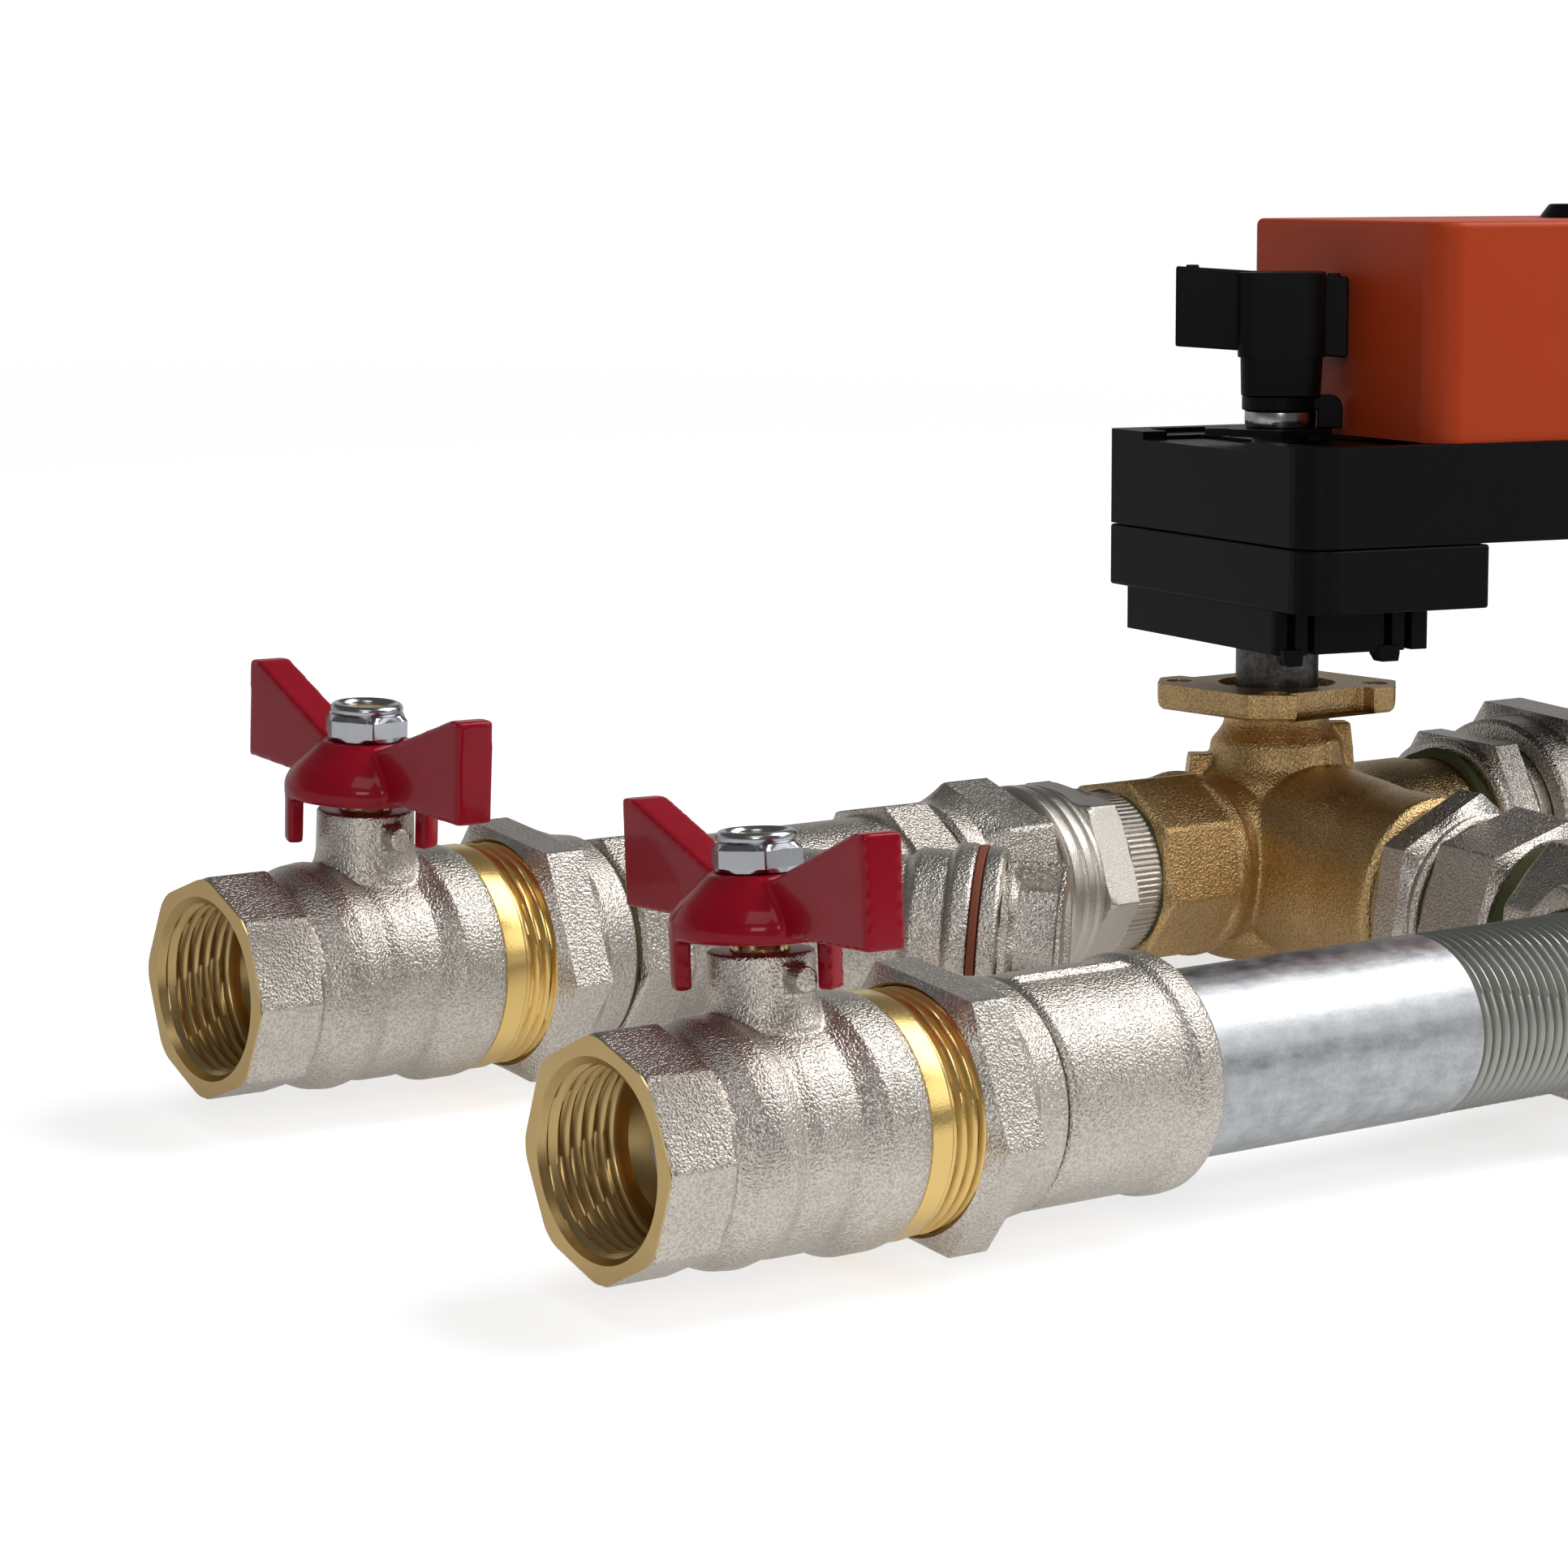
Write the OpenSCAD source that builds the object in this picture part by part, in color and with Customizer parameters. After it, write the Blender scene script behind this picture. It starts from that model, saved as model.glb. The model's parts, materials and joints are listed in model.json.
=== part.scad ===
// Heating mixing unit: supply and return ball valves, strainer, three-way
// mixing valve with a rotary actuator, bypass tee and circulation pump.
// X runs along the pipes, Y from the return line to the supply line, Z up.
// The origin is the centre of the return valve's mouth.

/* [Lines] */
// Distance between the return line and the supply line
line_gap = 125; // [120:1:150]
// Lean of the return valve's stem towards the supply line, in degrees
return_roll = 7.3; // [0:0.1:12]
// Lean of the supply valve's stem, in degrees
supply_roll = 1.4; // [0:0.1:12]
// Lean of the mixing valve's stem, in degrees
mixer_roll = 4.4; // [0:0.1:8]
// Distance from the valve mouths to the mixing valve's stem
mixer_x = 265.9; // [260:0.1:280]

/* [Threads] */
// Outer radius of the one inch pipe thread
inch_r = 16.62; // [16.5:0.01:16.7]
// Outer radius of the screwed-in joints
joint_r = 16.5; // [16.3:0.01:16.55]
// Core radius of the one inch pipe thread
inch_core_r = 15.15; // [15:0.01:15.3]
// Outer radius of the union thread
union_r = 20.95; // [20.5:0.01:21]
// Outer radius of the small unions' thread
small_union_r = 18.6; // [18.4:0.01:18.7]
// Outer radius of the pump thread
pump_thread_r = 23.9; // [23.5:0.01:24]
// Gap between a thread and its bore
thread_gap = 0.05; // [0.02:0.01:0.1]
// Depth that a male thread is screwed in
thread_depth = 13; // [10:0.5:14]
// Length of the heater return thread
return_thread_len = 16; // [10:0.1:20]
// Length of the heater supply thread
supply_thread_len = 24.8; // [12:0.1:30]

/* [Ball valve] */
// Corner radius of the octagon end
octagon_r = 20.84; // [20:0.01:22]
// Length of the octagon end
octagon_len = 13.8; // [10:0.1:15]
// Distance from the mouth to the stem
stem_x = 34.1; // [33.5:0.1:34.5]
// Length of the plated body
body_len = 52; // [51.5:0.1:53]
// Length of the bright brass band
band_len = 4.6; // [3:0.1:6]
// Radius of the bright brass band
band_r = 21.3; // [21.1:0.1:22]
// Length of the union thread on the valve
end_thread_len = 12.4; // [11:0.1:14]
// Radius of the raised ring round the body's middle
hump_r = 22.1; // [21.6:0.1:23]
// Radius of the body at its waist
waist_r = 20.4; // [20:0.1:21]
// Radius of the ball
ball_r = 17; // [16.5:0.1:17.2]
// Radius of the ball's port and of the bore
port_r = 11.2; // [9:0.1:11.5]
// Running gap between a ball and its seats
ball_gap = 0.08; // [0.03:0.01:0.1]
// Radius of the valve's neck
neck_r = 8.5; // [8.3:0.1:9]
// Height of the valve's neck over the line
neck_top = 30.5; // [30:0.1:31.5]
// Width of the stop lug on the neck
lug_w = 4.4; // [3:0.1:4.6]
// Reach of the stop lug from the stem
lug_reach = 12.8; // [12.2:0.1:13.5]
// Radius of the valve stem
stem_r = 4.8; // [4.4:0.1:5]
// Running gap round a turning stem
stem_gap = 0.05; // [0.02:0.01:0.09]

/* [Handle] */
// Height of the handle's lower rim over the line
skirt_low = 32.8; // [32.4:0.1:33.5]
// Outer radius of the handle's round skirt
skirt_r = 15; // [14.5:0.1:15.5]
// Height of the nut's seat on the handle
seat_h = 43.6; // [43:0.1:44.5]
// Reach of each wing from the stem
wing_reach = 40.4; // [30:0.1:45]
// Thickness of the wings
wing_t = 7.3; // [6:0.1:9]
// Height of the wing tips over the line
wing_top = 52.8; // [50:0.1:56]
// Angle from the pipe to the closed return handle, in degrees
return_closed = 97.4; // [97:0.1:98]
// Angle from the pipe to the closed supply handle, in degrees
supply_closed = 93.5; // [93:0.1:94]
// Lowest point of the handle's stop legs
leg_low = 24.5; // [24:0.1:28]
// Width of a stop leg, in degrees round the stem
leg_span = 18; // [12:1:19]
// Across flats of the lock nut
lock_nut_af = 13; // [12:0.1:13.5]

/* [Unions] */
// Corner radius of the valve union nuts
nut_r = 25.9; // [25:0.1:27]
// Length of the hexagon on the valve union nuts
nut_hex_len = 11.7; // [9:0.1:13]
// Turn of a hexagon corner of the union nuts from straight up, in degrees
nut_turn = 33; // [0:1:59]
// Thickness of a union gasket
gasket_t = 1.5; // [1:0.1:2]
// Thickness of a tail's collar
collar_t = 3.6; // [3:0.1:4]
// Outer radius of a tail's neck inside the nut
tail_neck_r = 17.6; // [17.2:0.1:18]
// Radius of the flow bore in the tails and fittings
flow_r = 12.5; // [10:0.1:13]

/* [Return line] */
// Radius of the return tail
tail_r = 20.4; // [19.5:0.1:21]
// Length of the return tail behind the nut
tail_len = 28; // [22:0.1:32]
// Radius of the raised rim of the return tail
rim_r = 21.6; // [21:0.1:22.5]
// Length of the raised rim of the return tail
rim_len = 6.4; // [4:0.1:8]
// Outer radius of the galvanised pipe
pipe_r = 16.85; // [16.6:0.01:17]
// Wall of the galvanised pipe
pipe_wall = 3.25; // [2.5:0.05:3.6]
// Start of the long thread on the galvanised pipe
long_thread_x = 184.4; // [150:0.1:200]
// Half the length of the tee, which is also its branch length
tee_reach = 39; // [36:0.1:41]
// Corner radius of the tee's octagon mouths
tee_mouth_r = 22; // [21:0.1:23]
// Length of the tee's octagon mouths
tee_mouth_len = 13; // [8:0.1:14]

/* [Strainer] */
// Mouth to mouth length of the strainer
strainer_len = 82; // [80:0.1:84]
// Length of the strainer's octagon mouths
strainer_mouth_len = 12; // [10:0.1:13]
// Corner radius of the strainer's octagon mouths
strainer_mouth_r = 20.8; // [20:0.1:22]
// Distance from the strainer's inlet to the foot of its leg
leg_foot = 24; // [22:0.1:26]
// Angle between the line and the strainer's leg, in degrees
leg_angle = 45; // [44:1:48]
// Length of the strainer's leg up to its gasket
leg_len = 57; // [55:0.1:62]
// Radius of the strainer's leg
leg_r = 17.4; // [17:0.1:18]
// Radius of the flange at the end of the leg
leg_flange_r = 20.6; // [20:0.1:21.5]
// Outer radius of the screen
screen_r = 12; // [11:0.1:12.5]
// Length of the cap's octagon head
cap_head_len = 12.5; // [9:0.1:15]
// Corner radius of the cap's octagon head
cap_head_r = 18.6; // [17:0.1:19.5]
// Turn of an octagon corner of the cap from straight up, in degrees
cap_turn = 5; // [0:1:44]

/* [Mixing valve inlet] */
// Corner radius of the strainer's union nut
strainer_nut_r = 22.84; // [22.7:0.01:23.4]
// Length of the hexagon on the strainer's union nut
strainer_nut_hex = 12.6; // [10:0.1:14]
// Length of the cone on the strainer's union nut
strainer_nut_cone = 10.7; // [9:0.1:12]
// Radius of the ring between the union and the adaptor's hexagon
ring_r = 20.5; // [20:0.1:21]
// Corner radius of the adaptor's hexagon
adaptor_hex_r = 21.2; // [20.5:0.1:23]
// Length of the adaptor's hexagon
adaptor_hex_len = 8.9; // [7:0.1:9.5]
// Radius of the ribbed part of the adaptor
ribbed_r = 17.2; // [16.8:0.1:18]

/* [Mixing valve] */
// Distance from the stem to the inlet mouth, and to the outlet end
mixer_reach = 48.1; // [47:0.1:50]
// Corner radius of the brass octagon
brass_octagon_r = 20.4; // [19.8:0.1:22]
// Length of the brass octagon
brass_octagon_len = 20; // [16:0.1:21]
// Radius of the round brass body
brass_body_r = 23; // [22:0.1:24]
// Radius of the outlet tube
outlet_r = 17.3; // [17:0.1:18]
// Radius of the mixing valve's ball
mixer_ball_r = 17.4; // [17:0.1:17.6]
// Radius of the mixing ball's ports
mixer_port_r = 9.5; // [7:0.1:10]
// Top of the mounting flange over the line
flange_top = 37; // [36:0.1:38]
// Thickness of the mounting flange
flange_t = 5.6; // [4:0.1:6]
// Half the side of the square mounting flange
flange_half = 22; // [21:0.1:23]
// Corner cut of the mounting flange
flange_cut = 8; // [6:0.1:9]
// Pitch circle of the mounting flange's holes
flange_pcd = 42; // [41:0.1:43]
// Radius of the mounting flange's holes
flange_hole_r = 2.8; // [2:0.1:3]
// Radius of the mixing valve's spindle
spindle_r = 6; // [5:0.1:6.4]

/* [Bypass] */
// Distance from the supply line to the bypass nut
bypass_nut_at = 50; // [49:0.1:51]
// Corner radius of the bypass nut
bypass_nut_r = 23.7; // [23.4:0.1:24.5]
// Length of the bypass nut's hexagon
bypass_nut_hex = 9.4; // [8:0.1:10]
// Turn of a corner of the bypass nut from straight up, in degrees
bypass_nut_turn = 25; // [0:1:59]
// Corner radius of the bypass adaptor's hexagon
bypass_hex_r = 22.6; // [21:0.1:24]

/* [Pump] */
// Length of the pump from port to port
pump_len = 180; // [170:1:182]
// Corner radius of the pump nuts
pump_nut_r = 28.8; // [28.5:0.1:30]
// Length of the hexagon on the pump nuts
pump_nut_hex = 15; // [12:0.1:16]
// Radius of the pump's round casing
casing_r = 45; // [42:0.5:48]
// Lowest point of the pump's casing under the line
casing_low = 27; // [24:0.5:30]
// Top of the pump's casing over the line
casing_top = 22; // [21:0.5:24]
// Radius of the motor housing
motor_r = 41; // [38:0.5:42]
// Height of the motor housing's top over the line
motor_top = 92; // [88:1:96]
// Radius of the pump shaft
shaft_r = 5; // [4:0.1:6]
// Radius of the impeller
impeller_r = 31; // [26:0.5:33]
// Side of the square control box
box_side = 94; // [86:1:96]
// Height of the control box
box_h = 44; // [36:1:50]

/* [Actuator] */
// Turn of the actuator from the line towards the return line, in degrees
actuator_turn = 12.5; // [10:0.1:14]
// Length of the actuator behind its spindle
actuator_back = 109; // [100:0.5:110]
// Distance from the spindle to the actuator's near end
actuator_front = 18.4; // [18:0.1:20]
// Half the width of the actuator's base
base_half = 42.3; // [40:0.1:43]
// Height of the adaptor's lower step over the line
adaptor_low = 46.4; // [45:0.1:48]
// Height of the adaptor's upper step over the line
adaptor_mid = 55.6; // [53:0.1:58]
// Height of the base's bottom over the line
base_low = 69.1; // [67:0.1:71]
// Height of the base's top over the line
base_top = 90; // [89:0.1:91]
// Height of the cover's top over the line
cover_top = 135.9; // [132:0.1:138]
// Distance from the spindle to the cover
cover_front = 13.7; // [13.6:0.1:15]
// Half the width of the cover
cover_half = 35.5; // [34:0.1:37]
// Wall of the actuator's housings
housing_wall = 2.4; // [1.8:0.1:3]
// Radius of the steel column under the adaptor
pillar_r = 8.9; // [8.6:0.1:9.2]
// Module of the gear teeth
gear_module = 0.9; // [0.88:0.01:0.92]
// Radius of the hand knob's hub
knob_r = 9.6; // [9:0.1:10]
// Lowest point of the hand knob
knob_low = 98.9; // [98.5:0.1:100]
// Lowest point of the knob's wings
knob_wing_low = 107; // [104:0.1:110]
// Top of the hand knob
knob_top = 125; // [120:0.1:130]
// Reach of the knob's long wing
knob_long = 22.5; // [16:0.1:22.5]
// Reach of the knob's short wing
knob_short = 14.1; // [11:0.1:14.1]
// Thickness of the knob's wings
knob_t = 5; // [4:0.1:5]
// Turn of the knob's short wing from the actuator's length, in degrees
knob_turn = 30; // [29.9:0.1:30.1]
// Travel of the release button
button_travel = 3; // [1.5:0.1:4]

/* [Hidden] */
$fn = 64;
eps = 0.01;
root_clearance = 0.3;

NICKEL = [0.74, 0.71, 0.68];
BRASS = [0.80, 0.62, 0.30];
CAST_BRASS = [0.62, 0.47, 0.25];
CHROME = [0.80, 0.81, 0.83];
STEEL = [0.62, 0.64, 0.66];
RED = [0.60, 0.05, 0.10];
BLACK = [0.10, 0.10, 0.11];
ORANGE = [0.78, 0.27, 0.10];
SEAL = [0.90, 0.90, 0.88];
FIBRE = [0.45, 0.22, 0.14];
IRON = [0.22, 0.23, 0.25];
GEAR_WHITE = [0.86, 0.86, 0.84];

// Places along a ball valve
valve_len = body_len + band_len + end_thread_len;
mouth_depth = 14.5;
seat_len = 4.6;
seat_out_r = 15.5;
seat_room_r = seat_out_r + 0.1;
seat_far = 15.1;
cavity_r = ball_r + 0.6;
end_screw_r = 18.7;
end_screw_x = stem_x + 10.1;
countersink_r = 16.8;
countersink_len = countersink_r - inch_core_r;

// Heights along a valve stem
slot_low = 12.3;
tang_w = 4.4;
tang_len = 11;
stem_foot = 17.2;
stem_foot_r = 6.2;
stem_foot_top = 19.2;
packing_low = 24;
packing_r = 7.1;
packing_h = 3.2;
square_low = 31.6;
square_af = 6.8;
stem_top = 49.4;
stem_thread_r = 3.95;
lug_low = 24.2;
lug_h = 4.7;
leg_in_r = 11.8;
first_leg = 28;
second_leg = 253.4;
hub_top_r = 8.2;
hub_shoulder = 36;
lock_hex_h = 4.3;
lock_collar_h = 2.3;
lock_collar_r = 6.2;

// A union lies behind each male thread: gasket, collar, lip of the nut
nut_overlap = 6;
nut_len = 19.6;
collar_r = union_r - 0.7;
lip_gap = 0.15;
tail_start = valve_len - nut_overlap + nut_len + 0.4;
nut_shoulder_r = 20.6;
small_collar_r = small_union_r - 0.4;
pump_collar_r = pump_thread_r - 0.8;
pump_neck_r = 19;
pump_nut_len = 23;
pump_nut_lip = 7.5;

// Places along the return line
tail_end = tail_start + tail_len + rim_len;
tee_start = mixer_x - tee_reach;
tee_end = mixer_x + tee_reach;

// Places along the supply line
strainer_x = tail_start + 1;
strainer_end = strainer_x + strainer_len;
strainer_nut_x = strainer_end + 1;
strainer_lip = 5;
strainer_face = strainer_nut_x + strainer_lip + collar_t + gasket_t;
strainer_nut_end = strainer_nut_x + strainer_nut_cone + strainer_nut_hex;
mixer_mouth = mixer_x - mixer_reach;
ribbed_len = mixer_mouth - strainer_nut_end - 9.7 - adaptor_hex_len;
mixer_outlet = mixer_x + mixer_reach;
pump_tail_hex_r = 23.7;
pump_tail_hex_len = 12;
pump_tail_x = mixer_outlet + 2.5;
pump_nut_x = pump_tail_x + pump_tail_hex_len + 4.5;
pump_face = pump_nut_x + pump_nut_lip + collar_t + gasket_t;
pump_x = pump_face + pump_len / 2;
pump_far_face = pump_face + pump_len;
pump_far_nut = pump_far_face + gasket_t + collar_t + pump_nut_lip - pump_nut_len;
heater_hex_x = pump_far_nut + pump_nut_len + 1;
heater_hex_len = 8;
unit_length = heater_hex_x + heater_hex_len + supply_thread_len;

// Places along the bypass, measured from the supply line
bypass_face = bypass_nut_at + 4.5;
bypass_collar_end = bypass_face + gasket_t + collar_t;
bypass_nut_end = bypass_collar_end + 2.6;
bypass_hex_from = bypass_nut_end + 0.6;
tee_mouth_k = line_gap - tee_reach;
bypass_hex_to = tee_mouth_k - 5;

// Gear train of the actuator
drive_teeth = 32;
idler_teeth = 40;
pinion_teeth = 14;
idler_e = gear_module * (drive_teeth + idler_teeth) / 2;
pinion_e = idler_e + gear_module * (idler_teeth + pinion_teeth) / 2;
gear_low = base_low + housing_wall + 1.6;
gear_h = 5;
motor_low = gear_low + gear_h + 4;
motor_h = 20;
motor_can_r = 16;
motor_shaft_r = 2;
idler_pin_r = 2.5;
clamp_low = 91.8;
clamp_h = 3.7;
clamp_r = 7.6;
plate_low = base_top + 0.2;
button_e = 76;
button_r = 9;
button_h = 6;

// Solid turned about the X axis from points [along, radius]
module turned(points)
    rotate([0, 90, 0])
    rotate_extrude($fn = 96)
    polygon([for (p = points) [p[1], p[0]]]);

// Round bar along X
module bar(from, to, r)
    translate([from, 0, 0])
    rotate([0, 90, 0])
    cylinder(h = to - from, r = r);

// Regular prism along X with one corner turned from straight up towards the front
module prism(from, to, r, sides, turn)
    translate([from, 0, 0])
    rotate([0, 90, 0])
    rotate([0, 0, turn])
    cylinder(h = to - from, r = r, $fn = sides);

// Prism along X whose two ends are turned down to a chamfer
module turned_prism(from, to, r, sides, turn, chamfer) {
    end_r = r * cos(180 / sides) + 0.2;
    intersection() {
        prism(from, to, r, sides, turn);
        turned([
            [from, 0], [from, end_r], [from + chamfer, r + eps],
            [to - chamfer, r + eps], [to, end_r], [to, 0]
        ]);
    }
}

// Hexagon nut along X with its lip at the near end and its thread bore at the far end
module union_nut(at, length, hex_len, r, turn, lip, lip_r, bore_r, shoulder_r) {
    hex_from = at + length - hex_len;
    difference() {
        union() {
            turned_prism(hex_from, at + length, r, 6, turn, 1.2);
            turned([
                [at, 0], [at, lip_r + 2.4], [at + 0.8, shoulder_r],
                [hex_from, r * cos(30) - 0.5], [hex_from + 1, r * cos(30) - 0.5],
                [hex_from + 1, 0]
            ]);
        }
        bar(at - 1, at + length + 1, lip_r);
        bar(at + lip, at + length + 1, bore_r);
    }
}

module facing_back(at) translate([at, 0, 0]) mirror([1, 0, 0]) children();

module on_return() rotate([-return_roll, 0, 0]) children();
module on_supply_line() translate([0, line_gap, 0]) children();
module on_supply() on_supply_line() rotate([-supply_roll, 0, 0]) children();
module on_mixer_line() translate([mixer_x, line_gap, 0]) children();
module on_mixer() on_mixer_line() rotate([-mixer_roll, 0, 0]) children();
module on_actuator() on_mixer() rotate([0, 0, -actuator_turn]) children();
module on_stem(closed) translate([stem_x, 0, 0]) rotate([0, 0, -closed]) children();
// X becomes the way from the supply line towards the return line
module on_bypass() on_mixer_line() rotate([0, 0, -90]) children();
module on_pump() translate([pump_x, line_gap, 0]) children();
module on_leg()
    translate([strainer_x + leg_foot, line_gap, 0])
    rotate([0, 0, -leg_angle])
    children();

// Ball valve

module valve_barrel()
    turned([
        [octagon_len - 1, 0], [octagon_len - 1, 19], [octagon_len + 1.2, 18.9],
        [octagon_len + 3, 19.6], [octagon_len + 5, 20.6], [24, 20.9], [26.5, 20.8],
        [29, waist_r], [36, waist_r], [39.5, waist_r + 0.5], [41.5, hump_r - 0.7],
        [43.5, hump_r - 0.1], [46, hump_r], [50, hump_r - 0.1],
        [body_len, hump_r - 0.5], [body_len, 0]
    ]);

module valve_neck() {
    translate([stem_x, 0, 0]) {
        cylinder(h = neck_top, r = neck_r);
        translate([0, 0, 15])
            cylinder(h = 8.5, r1 = 14, r2 = neck_r);
        translate([-lug_w / 2, -lug_reach, lug_low])
            cube([lug_w, lug_reach, lug_h]);
    }
}

module valve_body()
    color(NICKEL)
    difference() {
        union() {
            turned_prism(0, octagon_len, octagon_r, 8, 0, 0.8);
            valve_barrel();
            valve_neck();
        }
        bar(-1, mouth_depth, inch_core_r);
        turned([
            [-1, 0], [-1, countersink_r + 1], [0, countersink_r],
            [countersink_len, inch_core_r], [countersink_len, 0]
        ]);
        bar(mouth_depth - 1, stem_x, port_r + 0.3);
        bar(stem_x - seat_far, stem_x, seat_room_r);
        bar(stem_x - seat_far + seat_len, body_len + 1, cavity_r);
        bar(end_screw_x, body_len + 1, end_screw_r + thread_gap);
        translate([stem_x, 0, 0]) {
            cylinder(h = stem_foot_top + 0.2, r = stem_foot_r + 0.2);
            cylinder(h = neck_top + 1, r = stem_r + stem_gap);
            translate([0, 0, packing_low])
                cylinder(h = neck_top, r = packing_r);
        }
    }

module valve_end()
    color(BRASS)
    difference() {
        union() {
            bar(end_screw_x + 0.2, body_len + eps, end_screw_r);
            bar(body_len, body_len + band_len, band_r);
            bar(body_len + band_len - eps, valve_len, union_r);
        }
        bar(stem_x, stem_x + seat_far, seat_room_r);
        bar(stem_x, valve_len + 1, port_r + 0.3);
    }

module valve_ball(closed)
    color(CHROME)
    on_stem(closed)
    difference() {
        sphere(r = ball_r);
        rotate([0, 90, 0])
            cylinder(h = 3 * ball_r, r = port_r, center = true);
        translate([-tang_w / 2 - 0.1, -ball_r, slot_low])
            cube([tang_w + 0.2, 2 * ball_r, ball_r]);
    }

module valve_seats()
    color(SEAL)
    difference() {
        for (side = [-1, 1])
            translate([stem_x + side * (seat_far - seat_len / 2), 0, 0])
                rotate([0, 90, 0])
                difference() {
                    cylinder(h = seat_len, r = seat_out_r, center = true);
                    cylinder(h = seat_len + 1, r = port_r + 0.3, center = true);
                }
        translate([stem_x, 0, 0])
            sphere(r = ball_r + ball_gap);
    }

module valve_stem(closed)
    color(BRASS)
    on_stem(closed) {
        translate([-tang_w / 2, -tang_len / 2, slot_low + 0.2])
            cube([tang_w, tang_len, stem_foot - slot_low]);
        translate([0, 0, stem_foot])
            cylinder(h = stem_foot_top - stem_foot, r = stem_foot_r);
        translate([0, 0, stem_foot])
            cylinder(h = square_low - stem_foot, r = stem_r);
        translate([-square_af / 2, -square_af / 2, square_low - 1])
            cube([square_af, square_af, seat_h - square_low]);
        translate([0, 0, square_low])
            cylinder(h = stem_top - square_low, r = stem_thread_r);
    }

module valve_packing()
    color(SEAL)
    translate([stem_x, 0, 0])
    for (low = [packing_low + 0.05, packing_low + packing_h + 0.1])
        translate([0, 0, low])
            difference() {
                cylinder(h = packing_h, r = packing_r - 0.02);
                translate([0, 0, -1])
                    cylinder(h = packing_h + 2, r = stem_r + stem_gap);
            }

module handle_leg(middle)
    rotate([0, 0, middle - leg_span / 2])
    rotate_extrude(angle = leg_span)
    translate([leg_in_r + 0.1, leg_low])
    square([skirt_r - leg_in_r - 0.3, skirt_low + 1.7 - leg_low]);

module handle_wings()
    rotate([90, 0, 0])
    linear_extrude(height = wing_t, center = true)
    polygon([
        [-wing_reach, skirt_low + 1.3], [wing_reach, skirt_low + 1.3], [wing_reach, wing_top],
        [wing_reach - 3, wing_top], [hub_top_r + 1, seat_h - 0.6],
        [-hub_top_r - 1, seat_h - 0.6], [-wing_reach + 3, wing_top], [-wing_reach, wing_top]
    ]);

module valve_handle(closed)
    color(RED)
    on_stem(closed)
    difference() {
        union() {
            rotate_extrude()
                polygon([
                    [0, skirt_low], [skirt_r, skirt_low], [skirt_r, hub_shoulder],
                    [hub_top_r, seat_h], [0, seat_h]
                ]);
            handle_wings();
            handle_leg(first_leg);
            handle_leg(second_leg);
        }
        translate([0, 0, skirt_low - 1])
            cylinder(h = 4.2, r = leg_in_r);
        translate([-square_af / 2 - 0.05, -square_af / 2 - 0.05, skirt_low])
            cube([square_af + 0.1, square_af + 0.1, seat_h]);
        translate([0, 0, skirt_low])
            cylinder(h = seat_h, r = stem_thread_r + 0.1);
    }

module lock_nut(closed)
    color(CHROME)
    on_stem(closed)
    translate([0, 0, seat_h])
    difference() {
        union() {
            rotate([0, 0, 40])
                cylinder(h = lock_hex_h, r = lock_nut_af / sqrt(3), $fn = 6);
            cylinder(h = lock_hex_h + lock_collar_h, r = lock_collar_r);
        }
        translate([0, 0, -1])
            cylinder(h = lock_hex_h + lock_collar_h + 2, r = stem_thread_r + thread_gap);
    }

module valve_nut()
    color(NICKEL)
    facing_back(valve_len - nut_overlap + nut_len)
    union_nut(0, nut_len, nut_hex_len, nut_r, nut_turn,
        nut_len - nut_overlap - gasket_t - collar_t, tail_neck_r + lip_gap,
        union_r + thread_gap, nut_shoulder_r);

// Return line

module return_tailpiece()
    color(NICKEL)
    difference() {
        union() {
            bar(valve_len + gasket_t, valve_len + gasket_t + collar_t, collar_r);
            bar(valve_len + gasket_t, tail_start + 1, tail_neck_r);
            turned([
                [tail_start, 0], [tail_start, tail_r - 0.6], [tail_start + 0.6, tail_r],
                [tail_end - rim_len - 1, tail_r], [tail_end - rim_len, rim_r],
                [tail_end - 1.6, rim_r], [tail_end, rim_r - 1.6], [tail_end, 0]
            ]);
        }
        bar(valve_len, tail_end + 1, flow_r);
        bar(tail_end - thread_depth - 3, tail_end + 1, pipe_r + thread_gap);
    }

module steel_pipe(from, to)
    color(STEEL)
    difference() {
        bar(from, to, pipe_r);
        bar(from - 1, to + 1, pipe_r - pipe_wall);
    }

module return_pipe()
    difference() {
        steel_pipe(tail_end - thread_depth - 2, tee_start + thread_depth);
        color(STEEL)
        difference() {
            bar(long_thread_x, tee_start + thread_depth + 1, pipe_r + 1);
            bar(long_thread_x - 1, tee_start + thread_depth + 2, joint_r);
        }
    }

module tee_mouth()
    turned_prism(tee_reach - tee_mouth_len, tee_reach, tee_mouth_r, 8, 22.5, 1);

module return_tee()
    color(NICKEL)
    translate([mixer_x, 0, 0])
    difference() {
        union() {
            bar(-tee_reach + 1, tee_reach - 1, tail_r - 1);
            rotate([0, 0, 90])
                bar(0, tee_reach - 1, tail_r - 1.6);
            tee_mouth();
            rotate([0, 0, 90])
                tee_mouth();
            rotate([0, 0, 180])
                tee_mouth();
        }
        bar(-tee_reach - 1, tee_reach + 1, flow_r);
        rotate([0, 0, 90])
            bar(0, tee_reach + 1, flow_r - 0.4);
        bar(-tee_reach - 1, -tee_reach + thread_depth + 2, joint_r + thread_gap);
        bar(tee_reach - thread_depth - 2, tee_reach + 1, pipe_r + thread_gap);
        rotate([0, 0, 90])
            bar(tee_reach - thread_depth - 1, tee_reach + 1, joint_r + thread_gap);
    }

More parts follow.
